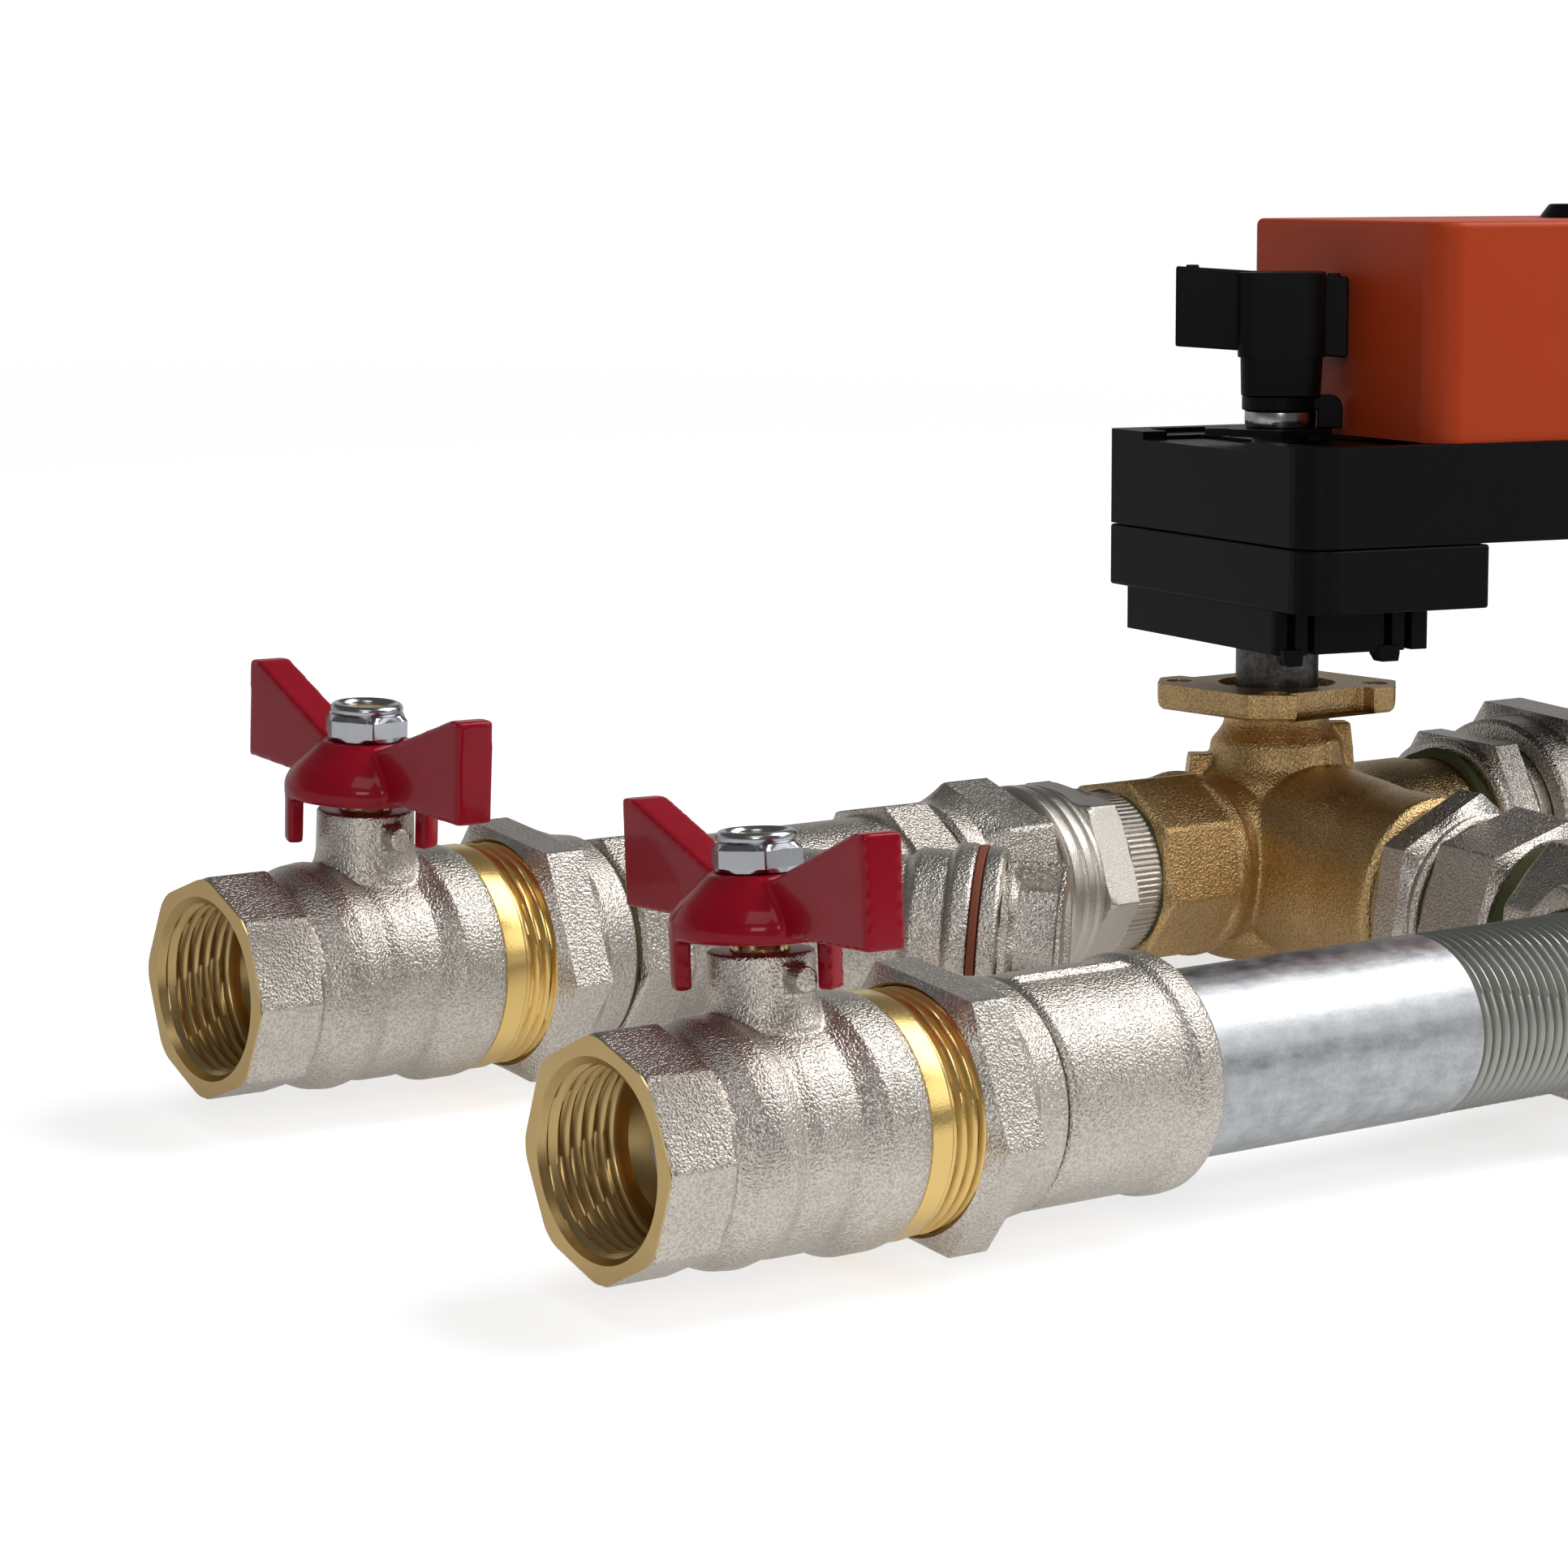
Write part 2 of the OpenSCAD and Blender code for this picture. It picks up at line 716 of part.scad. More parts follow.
module heater_return_pipe() {
    steel_pipe(tee_end - thread_depth, unit_length - return_thread_len);
    color(STEEL)
    difference() {
        bar(unit_length - return_thread_len - eps, unit_length, inch_r);
        bar(unit_length - return_thread_len - 1, unit_length + 1, pipe_r - pipe_wall);
    }
}

// Strainer

module strainer_inlet_tail()
    color(NICKEL)
    difference() {
        union() {
            bar(valve_len + gasket_t, valve_len + gasket_t + collar_t, collar_r);
            bar(valve_len + gasket_t, tail_start + 0.6, tail_neck_r);
            bar(tail_start, strainer_x + thread_depth - 2, joint_r);
        }
        bar(valve_len, strainer_x + thread_depth, flow_r);
    }

module strainer_body()
    color(NICKEL)
    difference() {
        union() {
            on_supply_line() {
                turned_prism(strainer_x, strainer_x + strainer_mouth_len,
                    strainer_mouth_r, 8, 8, 0.8);
                bar(strainer_x + 1, strainer_end - 1, 17.8);
                turned_prism(strainer_end - strainer_mouth_len, strainer_end,
                    strainer_mouth_r, 8, 8, 0.8);
            }
            on_leg() {
                bar(0, leg_len, leg_r);
                bar(leg_len - 13, leg_len, leg_r + 1.6);
                bar(leg_len - 4.5, leg_len, leg_flange_r);
            }
        }
        on_supply_line() {
            bar(strainer_x - 1, strainer_x + thread_depth, joint_r + thread_gap);
            bar(strainer_x, strainer_x + leg_foot + 4, flow_r);
            bar(strainer_x + leg_foot + 10, strainer_end + 1, flow_r);
            bar(strainer_end - thread_depth, strainer_end + 1, joint_r + thread_gap);
        }
        on_leg()
            bar(-4, leg_len + 1, screen_r + 1.8);
    }

module strainer_screen()
    color(STEEL)
    on_leg()
    difference() {
        bar(-3.7, leg_len - 2.2, screen_r);
        bar(-5, leg_len + 1, screen_r - 0.8);
        for (turn = [0:45:359], along = [8:8:48])
            rotate([turn, 0, 0])
                translate([along, 0, screen_r])
                cylinder(h = 6, r = 2, center = true, $fn = 24);
    }

module strainer_gasket()
    color(FIBRE)
    on_leg()
    difference() {
        bar(leg_len, leg_len + gasket_t, leg_flange_r - 0.2);
        bar(leg_len - 1, leg_len + gasket_t + 1, screen_r + 1.8);
    }

module strainer_cap()
    color(NICKEL)
    on_leg()
    difference() {
        union() {
            bar(leg_len - 2, leg_len + gasket_t + 1, screen_r + 1.7);
            bar(leg_len + gasket_t, leg_len + gasket_t + 3.6, leg_flange_r - 0.4);
            turned_prism(leg_len + gasket_t + 3.5, leg_len + gasket_t + 3.6 + cap_head_len,
                cap_head_r, 8, cap_turn, 1);
        }
        bar(leg_len - 3, leg_len + gasket_t + 2, screen_r - 1.2);
        for (side = [0 : 3])
            rotate([cap_turn + 22.5 + 90 * side, 0, 0])
                translate([leg_len + gasket_t + 6.6, -5.2, cap_head_r * cos(22.5) - 1.6])
                cube([cap_head_len - 4.6, 10.4, 3]);
    }

module strainer_outlet_tail()
    color(NICKEL)
    difference() {
        union() {
            bar(strainer_end - thread_depth + 2, strainer_face - gasket_t, joint_r);
            bar(strainer_nut_x + strainer_lip, strainer_face - gasket_t, small_collar_r);
        }
        bar(strainer_end - thread_depth, strainer_face, flow_r);
    }

module strainer_union_nut()
    color(NICKEL)
    union_nut(strainer_nut_x, strainer_nut_cone + strainer_nut_hex, strainer_nut_hex,
        strainer_nut_r, -15.7, strainer_lip, joint_r + lip_gap,
        small_union_r + thread_gap, nut_shoulder_r - 0.6);

module mixer_inlet_adaptor() {
    hex_from = mixer_mouth - ribbed_len - adaptor_hex_len;
    color(NICKEL)
    difference() {
        union() {
            bar(strainer_face, strainer_nut_end + 0.6, small_union_r);
            bar(strainer_nut_end + 0.5, hex_from + 0.5, ring_r);
            turned_prism(hex_from, hex_from + adaptor_hex_len, adaptor_hex_r, 6, 32.9, 0.9);
            bar(hex_from + adaptor_hex_len - 0.5, mixer_mouth - 0.8, ribbed_r);
            bar(mixer_mouth - 1, mixer_mouth + thread_depth, joint_r);
        }
        bar(strainer_face - 1, mixer_mouth + thread_depth + 1, flow_r);
    }
}

// Mixing valve, in a frame at the stem with the inlet towards minus X

spindle_top = 100;
mixer_seat_far = 16.4;
mixer_seat_len = 4.4;
mixer_seat_r = 13.4;
mixer_cavity_r = mixer_ball_r + 0.5;
mixer_foot = mixer_ball_r + 0.25;
mixer_seat_room_r = mixer_seat_r + 0.1;
outlet_bore_r = 13.4;
brass_neck_r = 12.4;
chamber_top = 24;
bonnet_low = 19;

module mixer_flange()
    translate([0, 0, flange_top - flange_t])
    linear_extrude(height = flange_t)
    difference() {
        polygon([
            for (q = [[1, 1], [-1, 1], [-1, -1], [1, -1]])
                for (s = q[0] * q[1] > 0 ? [0, 1] : [1, 0])
                    [
                        q[0] * (flange_half - (s == 1 ? flange_cut : 0)),
                        q[1] * (flange_half - (s == 0 ? flange_cut : 0))
                    ]
        ]);
        for (a = [45 : 90 : 359])
            rotate(a)
                translate([flange_pcd / 2, 0])
                circle(r = flange_hole_r);
        for (side = [-1, 1])
            translate([side > 0 ? -8 : -14, side > 0 ? flange_half - 4 : -flange_half - 4])
                square([22, 8]);
    }

module mixer_body()
    color(CAST_BRASS)
    difference() {
        union() {
            on_mixer_line() {
                turned_prism(-mixer_reach, -mixer_reach + brass_octagon_len,
                    brass_octagon_r, 8, 8, 0.8);
                turned([
                    [-mixer_reach + brass_octagon_len - 1, 0],
                    [-mixer_reach + brass_octagon_len - 1, 18.2],
                    [-22, 16.6], [-12, 20], [0, 20.5], [16, 19], [22, outlet_r],
                    [mixer_reach - 9, outlet_r], [mixer_reach - 9, 0]
                ]);
                bar(mixer_reach - 10, mixer_reach + thread_depth, joint_r);
            }
            on_bypass()
                turned([
                    [0, 0], [0, 21.2], [20, 21.6], [32, 20.2], [bypass_nut_at - 2, 21.4],
                    [bypass_nut_at - 0.5, small_union_r + 1], [bypass_nut_at - 0.5, small_union_r],
                    [bypass_face, small_union_r], [bypass_face, 0]
                ]);
            on_mixer() {
                translate([0, 0, -brass_body_r + 1])
                    cylinder(h = 2 * brass_body_r - 3, r1 = 20, r2 = brass_body_r - 1);
                translate([0, 0, 20])
                    cylinder(h = flange_top - flange_t - 19.5, r = brass_neck_r);
                translate([0, 0, flange_top - flange_t - 4])
                    cylinder(h = 4.2, r1 = brass_neck_r, r2 = 17);
                for (side = [0, 180])
                    rotate([0, 0, side + 20])
                        translate([10, -4, 19])
                        cube([8, 8, 7.6]);
                mixer_flange();
            }
        }
        on_mixer_line() {
            bar(-mixer_reach - 1, -mixer_reach + thread_depth + 1, joint_r + thread_gap);
            bar(-mixer_reach, 0, mixer_port_r + 0.3);
            bar(-mixer_seat_far, 0, mixer_seat_room_r);
            bar(0, mixer_seat_far, mixer_seat_room_r);
            bar(0, mixer_reach + thread_depth + 1, outlet_bore_r - 0.2);
        }
        on_bypass() {
            bar(0, mixer_seat_far, mixer_seat_room_r);
            bar(0, bypass_face + 1, mixer_port_r + 0.3);
        }
        on_mixer_line()
            sphere(r = mixer_cavity_r);
        on_mixer() {
            cylinder(h = bonnet_low + 0.2, r = spindle_r + 1.7);
            cylinder(h = flange_top + 1, r = spindle_r + stem_gap);
            translate([0, 0, chamber_top])
                cylinder(h = flange_top, r = spindle_r + 3);
            translate([0, 0, flange_top - 2.6])
                cylinder(h = flange_top, r = pillar_r + thread_gap);
        }
    }

module mixer_ball()
    color(CHROME)
    on_mixer()
    difference() {
        sphere(r = mixer_ball_r);
        rotate([0, 90, 0])
            cylinder(h = 3 * mixer_ball_r, r = mixer_port_r, center = true);
        rotate([-90, 0, 0])
            cylinder(h = 3 * mixer_ball_r, r = mixer_port_r - 0.3);
        translate([-tang_w / 2 - 0.1, -mixer_ball_r, slot_low + 0.4])
            cube([tang_w + 0.2, 2 * mixer_ball_r, mixer_ball_r]);
    }

module mixer_seats()
    color(SEAL)
    difference() {
        on_mixer_line()
            for (turn = [180, 0, -90])
                rotate([0, 0, turn])
                difference() {
                    bar(mixer_seat_far - mixer_seat_len, mixer_seat_far, mixer_seat_r);
                    bar(0, mixer_seat_far + 1, mixer_port_r + 0.3);
                }
        on_mixer_line()
            sphere(r = mixer_ball_r + ball_gap);
    }

module mixer_stem()
    color(STEEL)
    on_mixer() {
        translate([-tang_w / 2, -tang_len / 2, slot_low + 0.6])
            cube([tang_w, tang_len, mixer_foot - slot_low]);
        translate([0, 0, mixer_foot])
            cylinder(h = bonnet_low - mixer_foot, r = spindle_r + 1.5);
        translate([0, 0, mixer_foot])
            cylinder(h = spindle_top - mixer_foot, r = spindle_r);
    }

module mixer_stem_seals()
    color(BLACK)
    on_mixer()
    for (level = [0, 1, 2])
        translate([0, 0, chamber_top + 0.1 + 2.9 * level])
            difference() {
                cylinder(h = 2.8, r = spindle_r + 2.95);
                translate([0, 0, -1])
                    cylinder(h = 5, r = spindle_r + stem_gap);
            }

// Bypass

module bypass_union_nut()
    color(NICKEL)
    on_bypass()
    facing_back(bypass_nut_end)
    union_nut(0, bypass_nut_end - bypass_nut_at, bypass_nut_hex, bypass_nut_r, bypass_nut_turn,
        bypass_nut_end - bypass_collar_end, joint_r + lip_gap, small_union_r + thread_gap,
        nut_shoulder_r);

module bypass_adaptor()
    color(NICKEL)
    on_bypass()
    difference() {
        union() {
            bar(bypass_face + gasket_t, bypass_collar_end, small_collar_r);
            bar(bypass_face + gasket_t, bypass_hex_from + 0.5, joint_r);
            turned_prism(bypass_hex_from, bypass_hex_to, bypass_hex_r, 6, 25, 1);
            bar(bypass_hex_to - 0.5, tee_mouth_k + thread_depth - 1, joint_r);
        }
        bar(bypass_face, line_gap, flow_r);
    }

module flat_gasket(at, out_r, hole_r)
    difference() {
        bar(at, at + gasket_t, out_r);
        bar(at - 1, at + gasket_t + 1, hole_r);
    }

module union_gaskets()
    color(BLACK) {
        flat_gasket(valve_len, collar_r - 0.3, flow_r + 0.5);
        on_supply_line() {
            flat_gasket(valve_len, collar_r - 0.3, flow_r + 0.5);
            flat_gasket(strainer_face - gasket_t, small_collar_r - 0.3, flow_r + 0.5);
            flat_gasket(pump_face - gasket_t, pump_collar_r - 0.3, flow_r + 3);
            flat_gasket(pump_far_face, pump_collar_r - 0.3, flow_r + 3);
        }
        on_bypass()
            flat_gasket(bypass_face, small_collar_r - 0.3, flow_r + 0.5);
    }

// Pump

module pump_tail_end(from, to) {
    difference() {
        union() {
            bar(from, to, pump_neck_r);
            children();
        }
        bar(from - 1, to + 1, flow_r + 1.5);
    }
}

module pump_inlet_tail()
    color(NICKEL)
    on_supply_line()
    difference() {
        pump_tail_end(pump_tail_x + 0.5, pump_face - gasket_t) {
            turned([
                [pump_tail_x, 0], [pump_tail_x, 20], [pump_tail_x + 1, 21],
                [pump_tail_x + 3, 21], [pump_tail_x + 3, 0]
            ]);
            turned_prism(pump_tail_x + 2, pump_tail_x + pump_tail_hex_len,
                pump_tail_hex_r, 6, 28, 1);
            bar(pump_face - gasket_t - collar_t, pump_face - gasket_t, pump_collar_r);
        }
        bar(pump_tail_x - 1, mixer_outlet + thread_depth + 0.5, joint_r + thread_gap);
    }

module pump_nut()
    union_nut(0, pump_nut_len, pump_nut_hex, pump_nut_r, 30, pump_nut_lip,
        pump_neck_r + lip_gap, pump_thread_r + thread_gap, 24);

module pump_inlet_nut()
    color(NICKEL)
    on_supply_line()
    translate([pump_nut_x, 0, 0])
    pump_nut();

module pump_outlet_nut()
    color(NICKEL)
    on_supply_line()
    facing_back(pump_far_nut + pump_nut_len)
    pump_nut();

module heater_supply_tail()
    color(NICKEL)
    on_supply_line()
    difference() {
        union() {
            pump_tail_end(pump_far_face + gasket_t, heater_hex_x + 4)
                bar(pump_far_face + gasket_t, pump_far_face + gasket_t + collar_t,
                    pump_collar_r);
            turned_prism(heater_hex_x, heater_hex_x + heater_hex_len, pump_tail_hex_r, 6, 28, 1);
            bar(heater_hex_x + 1, unit_length, inch_r);
        }
        bar(pump_far_face, unit_length + 1, flow_r);
    }

casing_wall = 5;
shield_t = 6;
shield_r = 39;
screw_circle = 45.4;
impeller_h = 13;
rotor_r = 18;
rotor_h = 34;
box_gap = 2;

module pump_casing()
    color(IRON)
    on_pump()
    difference() {
        union() {
            rotate_extrude()
                polygon([
                    [0, -casing_low], [casing_r - 9, -casing_low], [casing_r, 6 - casing_low],
                    [casing_r, casing_top], [0, casing_top]
                ]);
            for (side = [0, 180])
                rotate([0, 0, side])
                    turned([
                        [20, 0], [20, 24], [casing_r + 3, 21.5],
                        [pump_len / 2 - 16, 20], [pump_len / 2 - 16, pump_thread_r],
                        [pump_len / 2, pump_thread_r], [pump_len / 2, 0]
                    ]);
            for (a = [45 : 90 : 359])
                rotate([0, 0, a])
                    translate([screw_circle, 0, casing_top - 14])
                    cylinder(h = 13.8, r = 7);
        }
        translate([0, 0, -casing_low + casing_wall + 3])
            cylinder(h = casing_low + casing_top, r = shield_r - 4);
        translate([0, 0, casing_top - shield_t])
            cylinder(h = shield_t + 1, r = shield_r + 0.35);
        bar(-pump_len / 2 - 1, pump_len / 2 + 1, flow_r + 1.5);
        for (a = [45 : 90 : 359])
            rotate([0, 0, a])
                translate([screw_circle + 1, 0, casing_top - 10])
                cylinder(h = 11, r = 2.5 + thread_gap);
    }

module pump_motor_housing()
    color(IRON)
    on_pump()
    difference() {
        union() {
            translate([0, 0, casing_top - shield_t])
                cylinder(h = shield_t + 0.5, r = shield_r);
            translate([0, 0, casing_top])
                cylinder(h = 6, r = casing_r + 7);
            translate([0, 0, casing_top + 5])
                cylinder(h = motor_top - casing_top - 5, r = motor_r);
            for (level = [casing_top + 14 : 7 : motor_top - 8])
                translate([0, 0, level])
                    cylinder(h = 2.4, r = motor_r + 2.5);
        }
        translate([0, 0, casing_top - shield_t - 1])
            cylinder(h = motor_top, r = shaft_r + stem_gap);
        translate([0, 0, casing_top + shield_t])
            cylinder(h = motor_top - casing_top - shield_t - 8, r = rotor_r + 4);
        for (a = [45 : 90 : 359])
            rotate([0, 0, a])
                translate([screw_circle + 1, 0, casing_top - 1])
                cylinder(h = 8, r = 2.9);
    }

module pump_shaft()
    color(CHROME)
    on_pump() {
        translate([0, 0, -impeller_h / 2 - 3])
            cylinder(h = motor_top - 4 + impeller_h / 2 + 3, r = shaft_r);
        translate([0, 0, casing_top + shield_t + 6])
            cylinder(h = rotor_h, r = rotor_r);
    }

module pump_impeller()
    color(GEAR_WHITE)
    on_pump()
    difference() {
        union() {
            translate([0, 0, -impeller_h / 2])
                cylinder(h = 2, r = impeller_r);
            translate([0, 0, impeller_h / 2 - 2])
                cylinder(h = 2, r = impeller_r);
            translate([0, 0, -impeller_h / 2])
                cylinder(h = impeller_h, r = shaft_r + 3);
            for (a = [0 : 60 : 359])
                rotate([0, 0, a])
                    translate([shaft_r + 1, -1, -impeller_h / 2])
                    cube([impeller_r - shaft_r - 3, 2, impeller_h]);
        }
        translate([0, 0, -impeller_h])
            cylinder(h = 2 * impeller_h, r = shaft_r + 0.02);
    }

module rounded_block(x0, x1, half, low, high, r)
    translate([0, 0, low])
    linear_extrude(height = high - low)
    union() {
        translate([x0 + r, -half])
            square([x1 - x0 - 2 * r, 2 * half]);
        translate([x0, -half + r])
            square([x1 - x0, 2 * half - 2 * r]);
        for (x = [x0 + r, x1 - r], y = [-half + r, half - r])
            translate([x, y])
                circle(r = r);
    }

module pump_control_box()
    color(BLACK)
    on_pump()
    difference() {
        union() {
            rounded_block(-box_side / 2, box_side / 2, box_side / 2,
                motor_top + box_gap, motor_top + box_gap + box_h - 8, 12);
            rounded_block(-box_side / 2 + 4, box_side / 2 - 4, box_side / 2 - 4,
                motor_top + box_gap + box_h - 9, motor_top + box_gap + box_h, 10);
            translate([0, 0, motor_top])
                cylinder(h = box_gap + 1, r = motor_r - 4);
        }
        rounded_block(-box_side / 2 + 3, box_side / 2 - 3, box_side / 2 - 3,
            motor_top + box_gap + 3, motor_top + box_gap + box_h - 10, 9);
    }

module pump_screws()
    color(CHROME)
    on_pump()
    for (a = [45 : 90 : 359])
        rotate([0, 0, a])
            translate([screw_circle + 1, 0, casing_top - 9.5]) {
                cylinder(h = 15.6, r = 2.5);
                translate([0, 0, 15.5])
                    cylinder(h = 5, r = 4.4);
            }

// Actuator, in a frame at the spindle with X along its length

module spindle_hole(low, high, r)
    translate([0, 0, low])
    cylinder(h = high - low, r = r);

module actuator_pillar()
    color(STEEL)
    on_mixer()
    difference() {
        spindle_hole(flange_top - 2.6, adaptor_low + 6, pillar_r);
        spindle_hole(flange_top - 4, adaptor_low + 7, spindle_r + stem_gap);
    }

module actuator_adaptor()
    color(BLACK)
    on_actuator()
    difference() {
        union() {
            rounded_block(-actuator_front, 26, base_half, adaptor_mid, base_low, 5);
            rounded_block(-actuator_front + 1.2, 19, 30.1, adaptor_low, adaptor_mid + 1, 3);
            for (e = [-4.6, 14.2])
                translate([e, -30.6, adaptor_low - 2.5])
                    cube([4.2, 4.4, 8]);
        }
        spindle_hole(adaptor_low - 3, adaptor_low + 6, pillar_r + thread_gap);
        spindle_hole(adaptor_low - 3, base_low + 1, spindle_r + 0.4);
        for (e = [-8.2, 0.2, 10.6, 18.5])
            translate([e, -31, adaptor_low - 3])
                cube([1.8, 4, 8.5]);
    }

module actuator_base()
    color(BLACK)
    on_actuator()
    difference() {
        rounded_block(-actuator_front, actuator_back, base_half, base_low, base_top, 5);
        rounded_block(-actuator_front + housing_wall, actuator_back - housing_wall,
            base_half - housing_wall, base_low + housing_wall, base_top - 3, 3);
        rounded_block(cover_front + housing_wall, actuator_back - 5, cover_half - housing_wall,
            base_low + housing_wall, base_top + 1, 3);
        spindle_hole(base_low - 1, base_top + 1, spindle_r + stem_gap);
        translate([idler_e, 0, base_low - 1])
            cylinder(h = housing_wall + 2, r = idler_pin_r + stem_gap);
    }

module actuator_cover()
    color(ORANGE)
    on_actuator()
    difference() {
        rounded_block(cover_front, actuator_back - 2.5, cover_half, base_top, cover_top, 7);
        rounded_block(cover_front + housing_wall, actuator_back - 2.5 - housing_wall,
            cover_half - housing_wall, base_top - 1, cover_top - housing_wall, 4.6);
        translate([button_e, 0, cover_top - housing_wall - 1])
            cylinder(h = housing_wall + 2, r = button_r + 0.3);
    }

// Half of a tooth's width in degrees at radius r, for an involute flank
function tooth_half(r, pitch_r, teeth) =
    let (base_r = pitch_r * cos(20), t = acos(min(1, base_r / max(r, base_r))),
        inv = tan(t) * 180 / PI - t, inv20 = tan(20) * 180 / PI - 20)
    0.9 * 90 / teeth + inv20 - inv;

// Outline of a spur gear; the first tooth points along X after the given turn
module gear_outline(teeth, turn) {
    pitch_r = gear_module * teeth / 2;
    tip_r = pitch_r + 0.85 * gear_module;
    root_r = pitch_r - 1.2 * gear_module;
    flank = [for (s = [0 : 3]) root_r + (tip_r - root_r) * s / 3];
    polygon([
        for (i = [0 : teeth - 1])
            for (side = [-1, 1])
                for (s = side < 0 ? [0, 1, 2, 3] : [3, 2, 1, 0])
                    let (a = turn + 360 * i / teeth + side * tooth_half(flank[s], pitch_r, teeth))
                    flank[s] * [cos(a), sin(a)]
    ]);
}

module gear(teeth, turn, bore_r, low, h)
    translate([0, 0, low])
    difference() {
        linear_extrude(height = h)
            gear_outline(teeth, turn);
        translate([0, 0, -1])
            cylinder(h = h + 2, r = bore_r);
    }

module actuator_drive_gear()
    color(GEAR_WHITE)
    on_actuator()
    gear(drive_teeth, 0, spindle_r + 0.01, gear_low, gear_h);

module actuator_idler_gear()
    color(GEAR_WHITE)
    on_actuator()
    translate([idler_e, 0, 0]) {
        gear(idler_teeth, 180 / idler_teeth, idler_pin_r - 0.5, gear_low, gear_h);
        translate([0, 0, base_low + 0.2])
            cylinder(h = gear_low + gear_h + 3 - base_low, r = idler_pin_r);
    }

module actuator_pinion()
    color(STEEL)
    on_actuator()
    translate([pinion_e, 0, 0]) {
        gear(pinion_teeth, 180 + 180 / pinion_teeth * (pinion_teeth % 2), motor_shaft_r - 0.5,
            gear_low, gear_h);
        translate([0, 0, gear_low])
            cylinder(h = motor_low + 6 - gear_low, r = motor_shaft_r);
    }

module actuator_motor()
    color(STEEL)
    on_actuator()
    difference() {
        union() {
            translate([pinion_e, 0, motor_low])
                cylinder(h = motor_h, r = motor_can_r);
            for (side = [-1, 1])
                translate([pinion_e - 3, side * (motor_can_r - 2) - 1.5, base_low + housing_wall])
                    cube([6, 3, motor_low + 4 - base_low - housing_wall]);
        }
        translate([pinion_e, 0, motor_low - 1])
            cylinder(h = 9, r = motor_shaft_r + stem_gap);
    }

module actuator_indicator()
    color(BLACK)
    on_actuator()
    difference() {
        union() {
            translate([0, 0, plate_low])
                cylinder(h = 1.6, r = 12.6, $fn = 6);
            rotate([0, 0, 180 - knob_turn])
                translate([0, -4, plate_low])
                cube([16, 8, 1.6]);
        }
        spindle_hole(plate_low - 1, plate_low + 3, spindle_r + 0.02);
    }

module actuator_clamp()
    color(CHROME)
    on_actuator()
    difference() {
        union() {
            translate([0, 0, plate_low + 1.6])
                cylinder(h = clamp_low + clamp_h - plate_low - 1.6, r = clamp_r);
            translate([0, 0, clamp_low + clamp_h - eps])
                cylinder(h = knob_low - clamp_low - clamp_h, r = clamp_r + 0.6);
            rotate([0, 0, -knob_turn])
                translate([0, -4, clamp_low])
                cube([13.2, 8, knob_low - clamp_low - 0.1]);
        }
        spindle_hole(plate_low, knob_low + 1, spindle_r + 0.02);
    }

module actuator_knob()
    color(BLACK)
    on_actuator()
    rotate([0, 0, -knob_turn])
    difference() {
        union() {
            spindle_hole(knob_low, knob_top, knob_r);
            translate([-knob_long, -knob_t / 2, knob_wing_low])
                cube([knob_long + knob_short, knob_t, knob_top - knob_wing_low]);
        }
        spindle_hole(knob_low - 1, spindle_top + 1, spindle_r + 0.02);
    }

module release_button()
    color(BLACK)
    on_actuator()
    translate([button_e, 0, cover_top]) {
        translate([0, 0, -housing_wall - 0.5])
            cylinder(h = housing_wall + 0.5 + button_travel, r = button_r);
        translate([0, 0, -housing_wall - 2])
            cylinder(h = 1.8, r = button_r + 1.4);
    }

on_return() valve_body();  // return_valve_body
on_return() valve_end();  // return_valve_end
on_return() valve_ball(return_closed);  // return_ball
on_return() valve_seats();  // return_ball_seats
on_return() valve_stem(return_closed);  // return_stem
on_return() valve_packing();  // return_stem_packing
on_return() valve_handle(return_closed);  // return_handle
on_return() lock_nut(return_closed);  // return_lock_nut
valve_nut();  // return_union_nut
return_tailpiece();
return_pipe();
return_tee();
heater_return_pipe();
on_supply() valve_body();  // supply_valve_body
on_supply() valve_end();  // supply_valve_end
on_supply() valve_ball(supply_closed);  // supply_ball
on_supply() valve_seats();  // supply_ball_seats
on_supply() valve_stem(supply_closed);  // supply_stem
on_supply() valve_packing();  // supply_stem_packing
on_supply() valve_handle(supply_closed);  // supply_handle
on_supply() lock_nut(supply_closed);  // supply_lock_nut
on_supply_line() valve_nut();  // supply_union_nut
on_supply_line() strainer_inlet_tail();
strainer_body();
strainer_screen();
strainer_gasket();
strainer_cap();
on_supply_line() strainer_outlet_tail();
on_supply_line() strainer_union_nut();
on_supply_line() mixer_inlet_adaptor();
mixer_body();
mixer_ball();
mixer_seats();
mixer_stem();
mixer_stem_seals();
bypass_union_nut();
bypass_adaptor();
union_gaskets();
pump_inlet_tail();
pump_inlet_nut();
pump_casing();
pump_motor_housing();
pump_shaft();
pump_impeller();
pump_control_box();
pump_screws();
pump_outlet_nut();
heater_supply_tail();
actuator_pillar();
actuator_adaptor();
actuator_base();
actuator_cover();
actuator_motor();
actuator_pinion();
actuator_idler_gear();
actuator_drive_gear();
actuator_indicator();
actuator_clamp();
actuator_knob();
release_button();
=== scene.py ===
"""Looks of a heating mixing unit: nickel and brass fittings, red wing handles, an actuator and a pump."""

import json
import math

import bpy
import numpy as np
from mathutils import Matrix, Vector


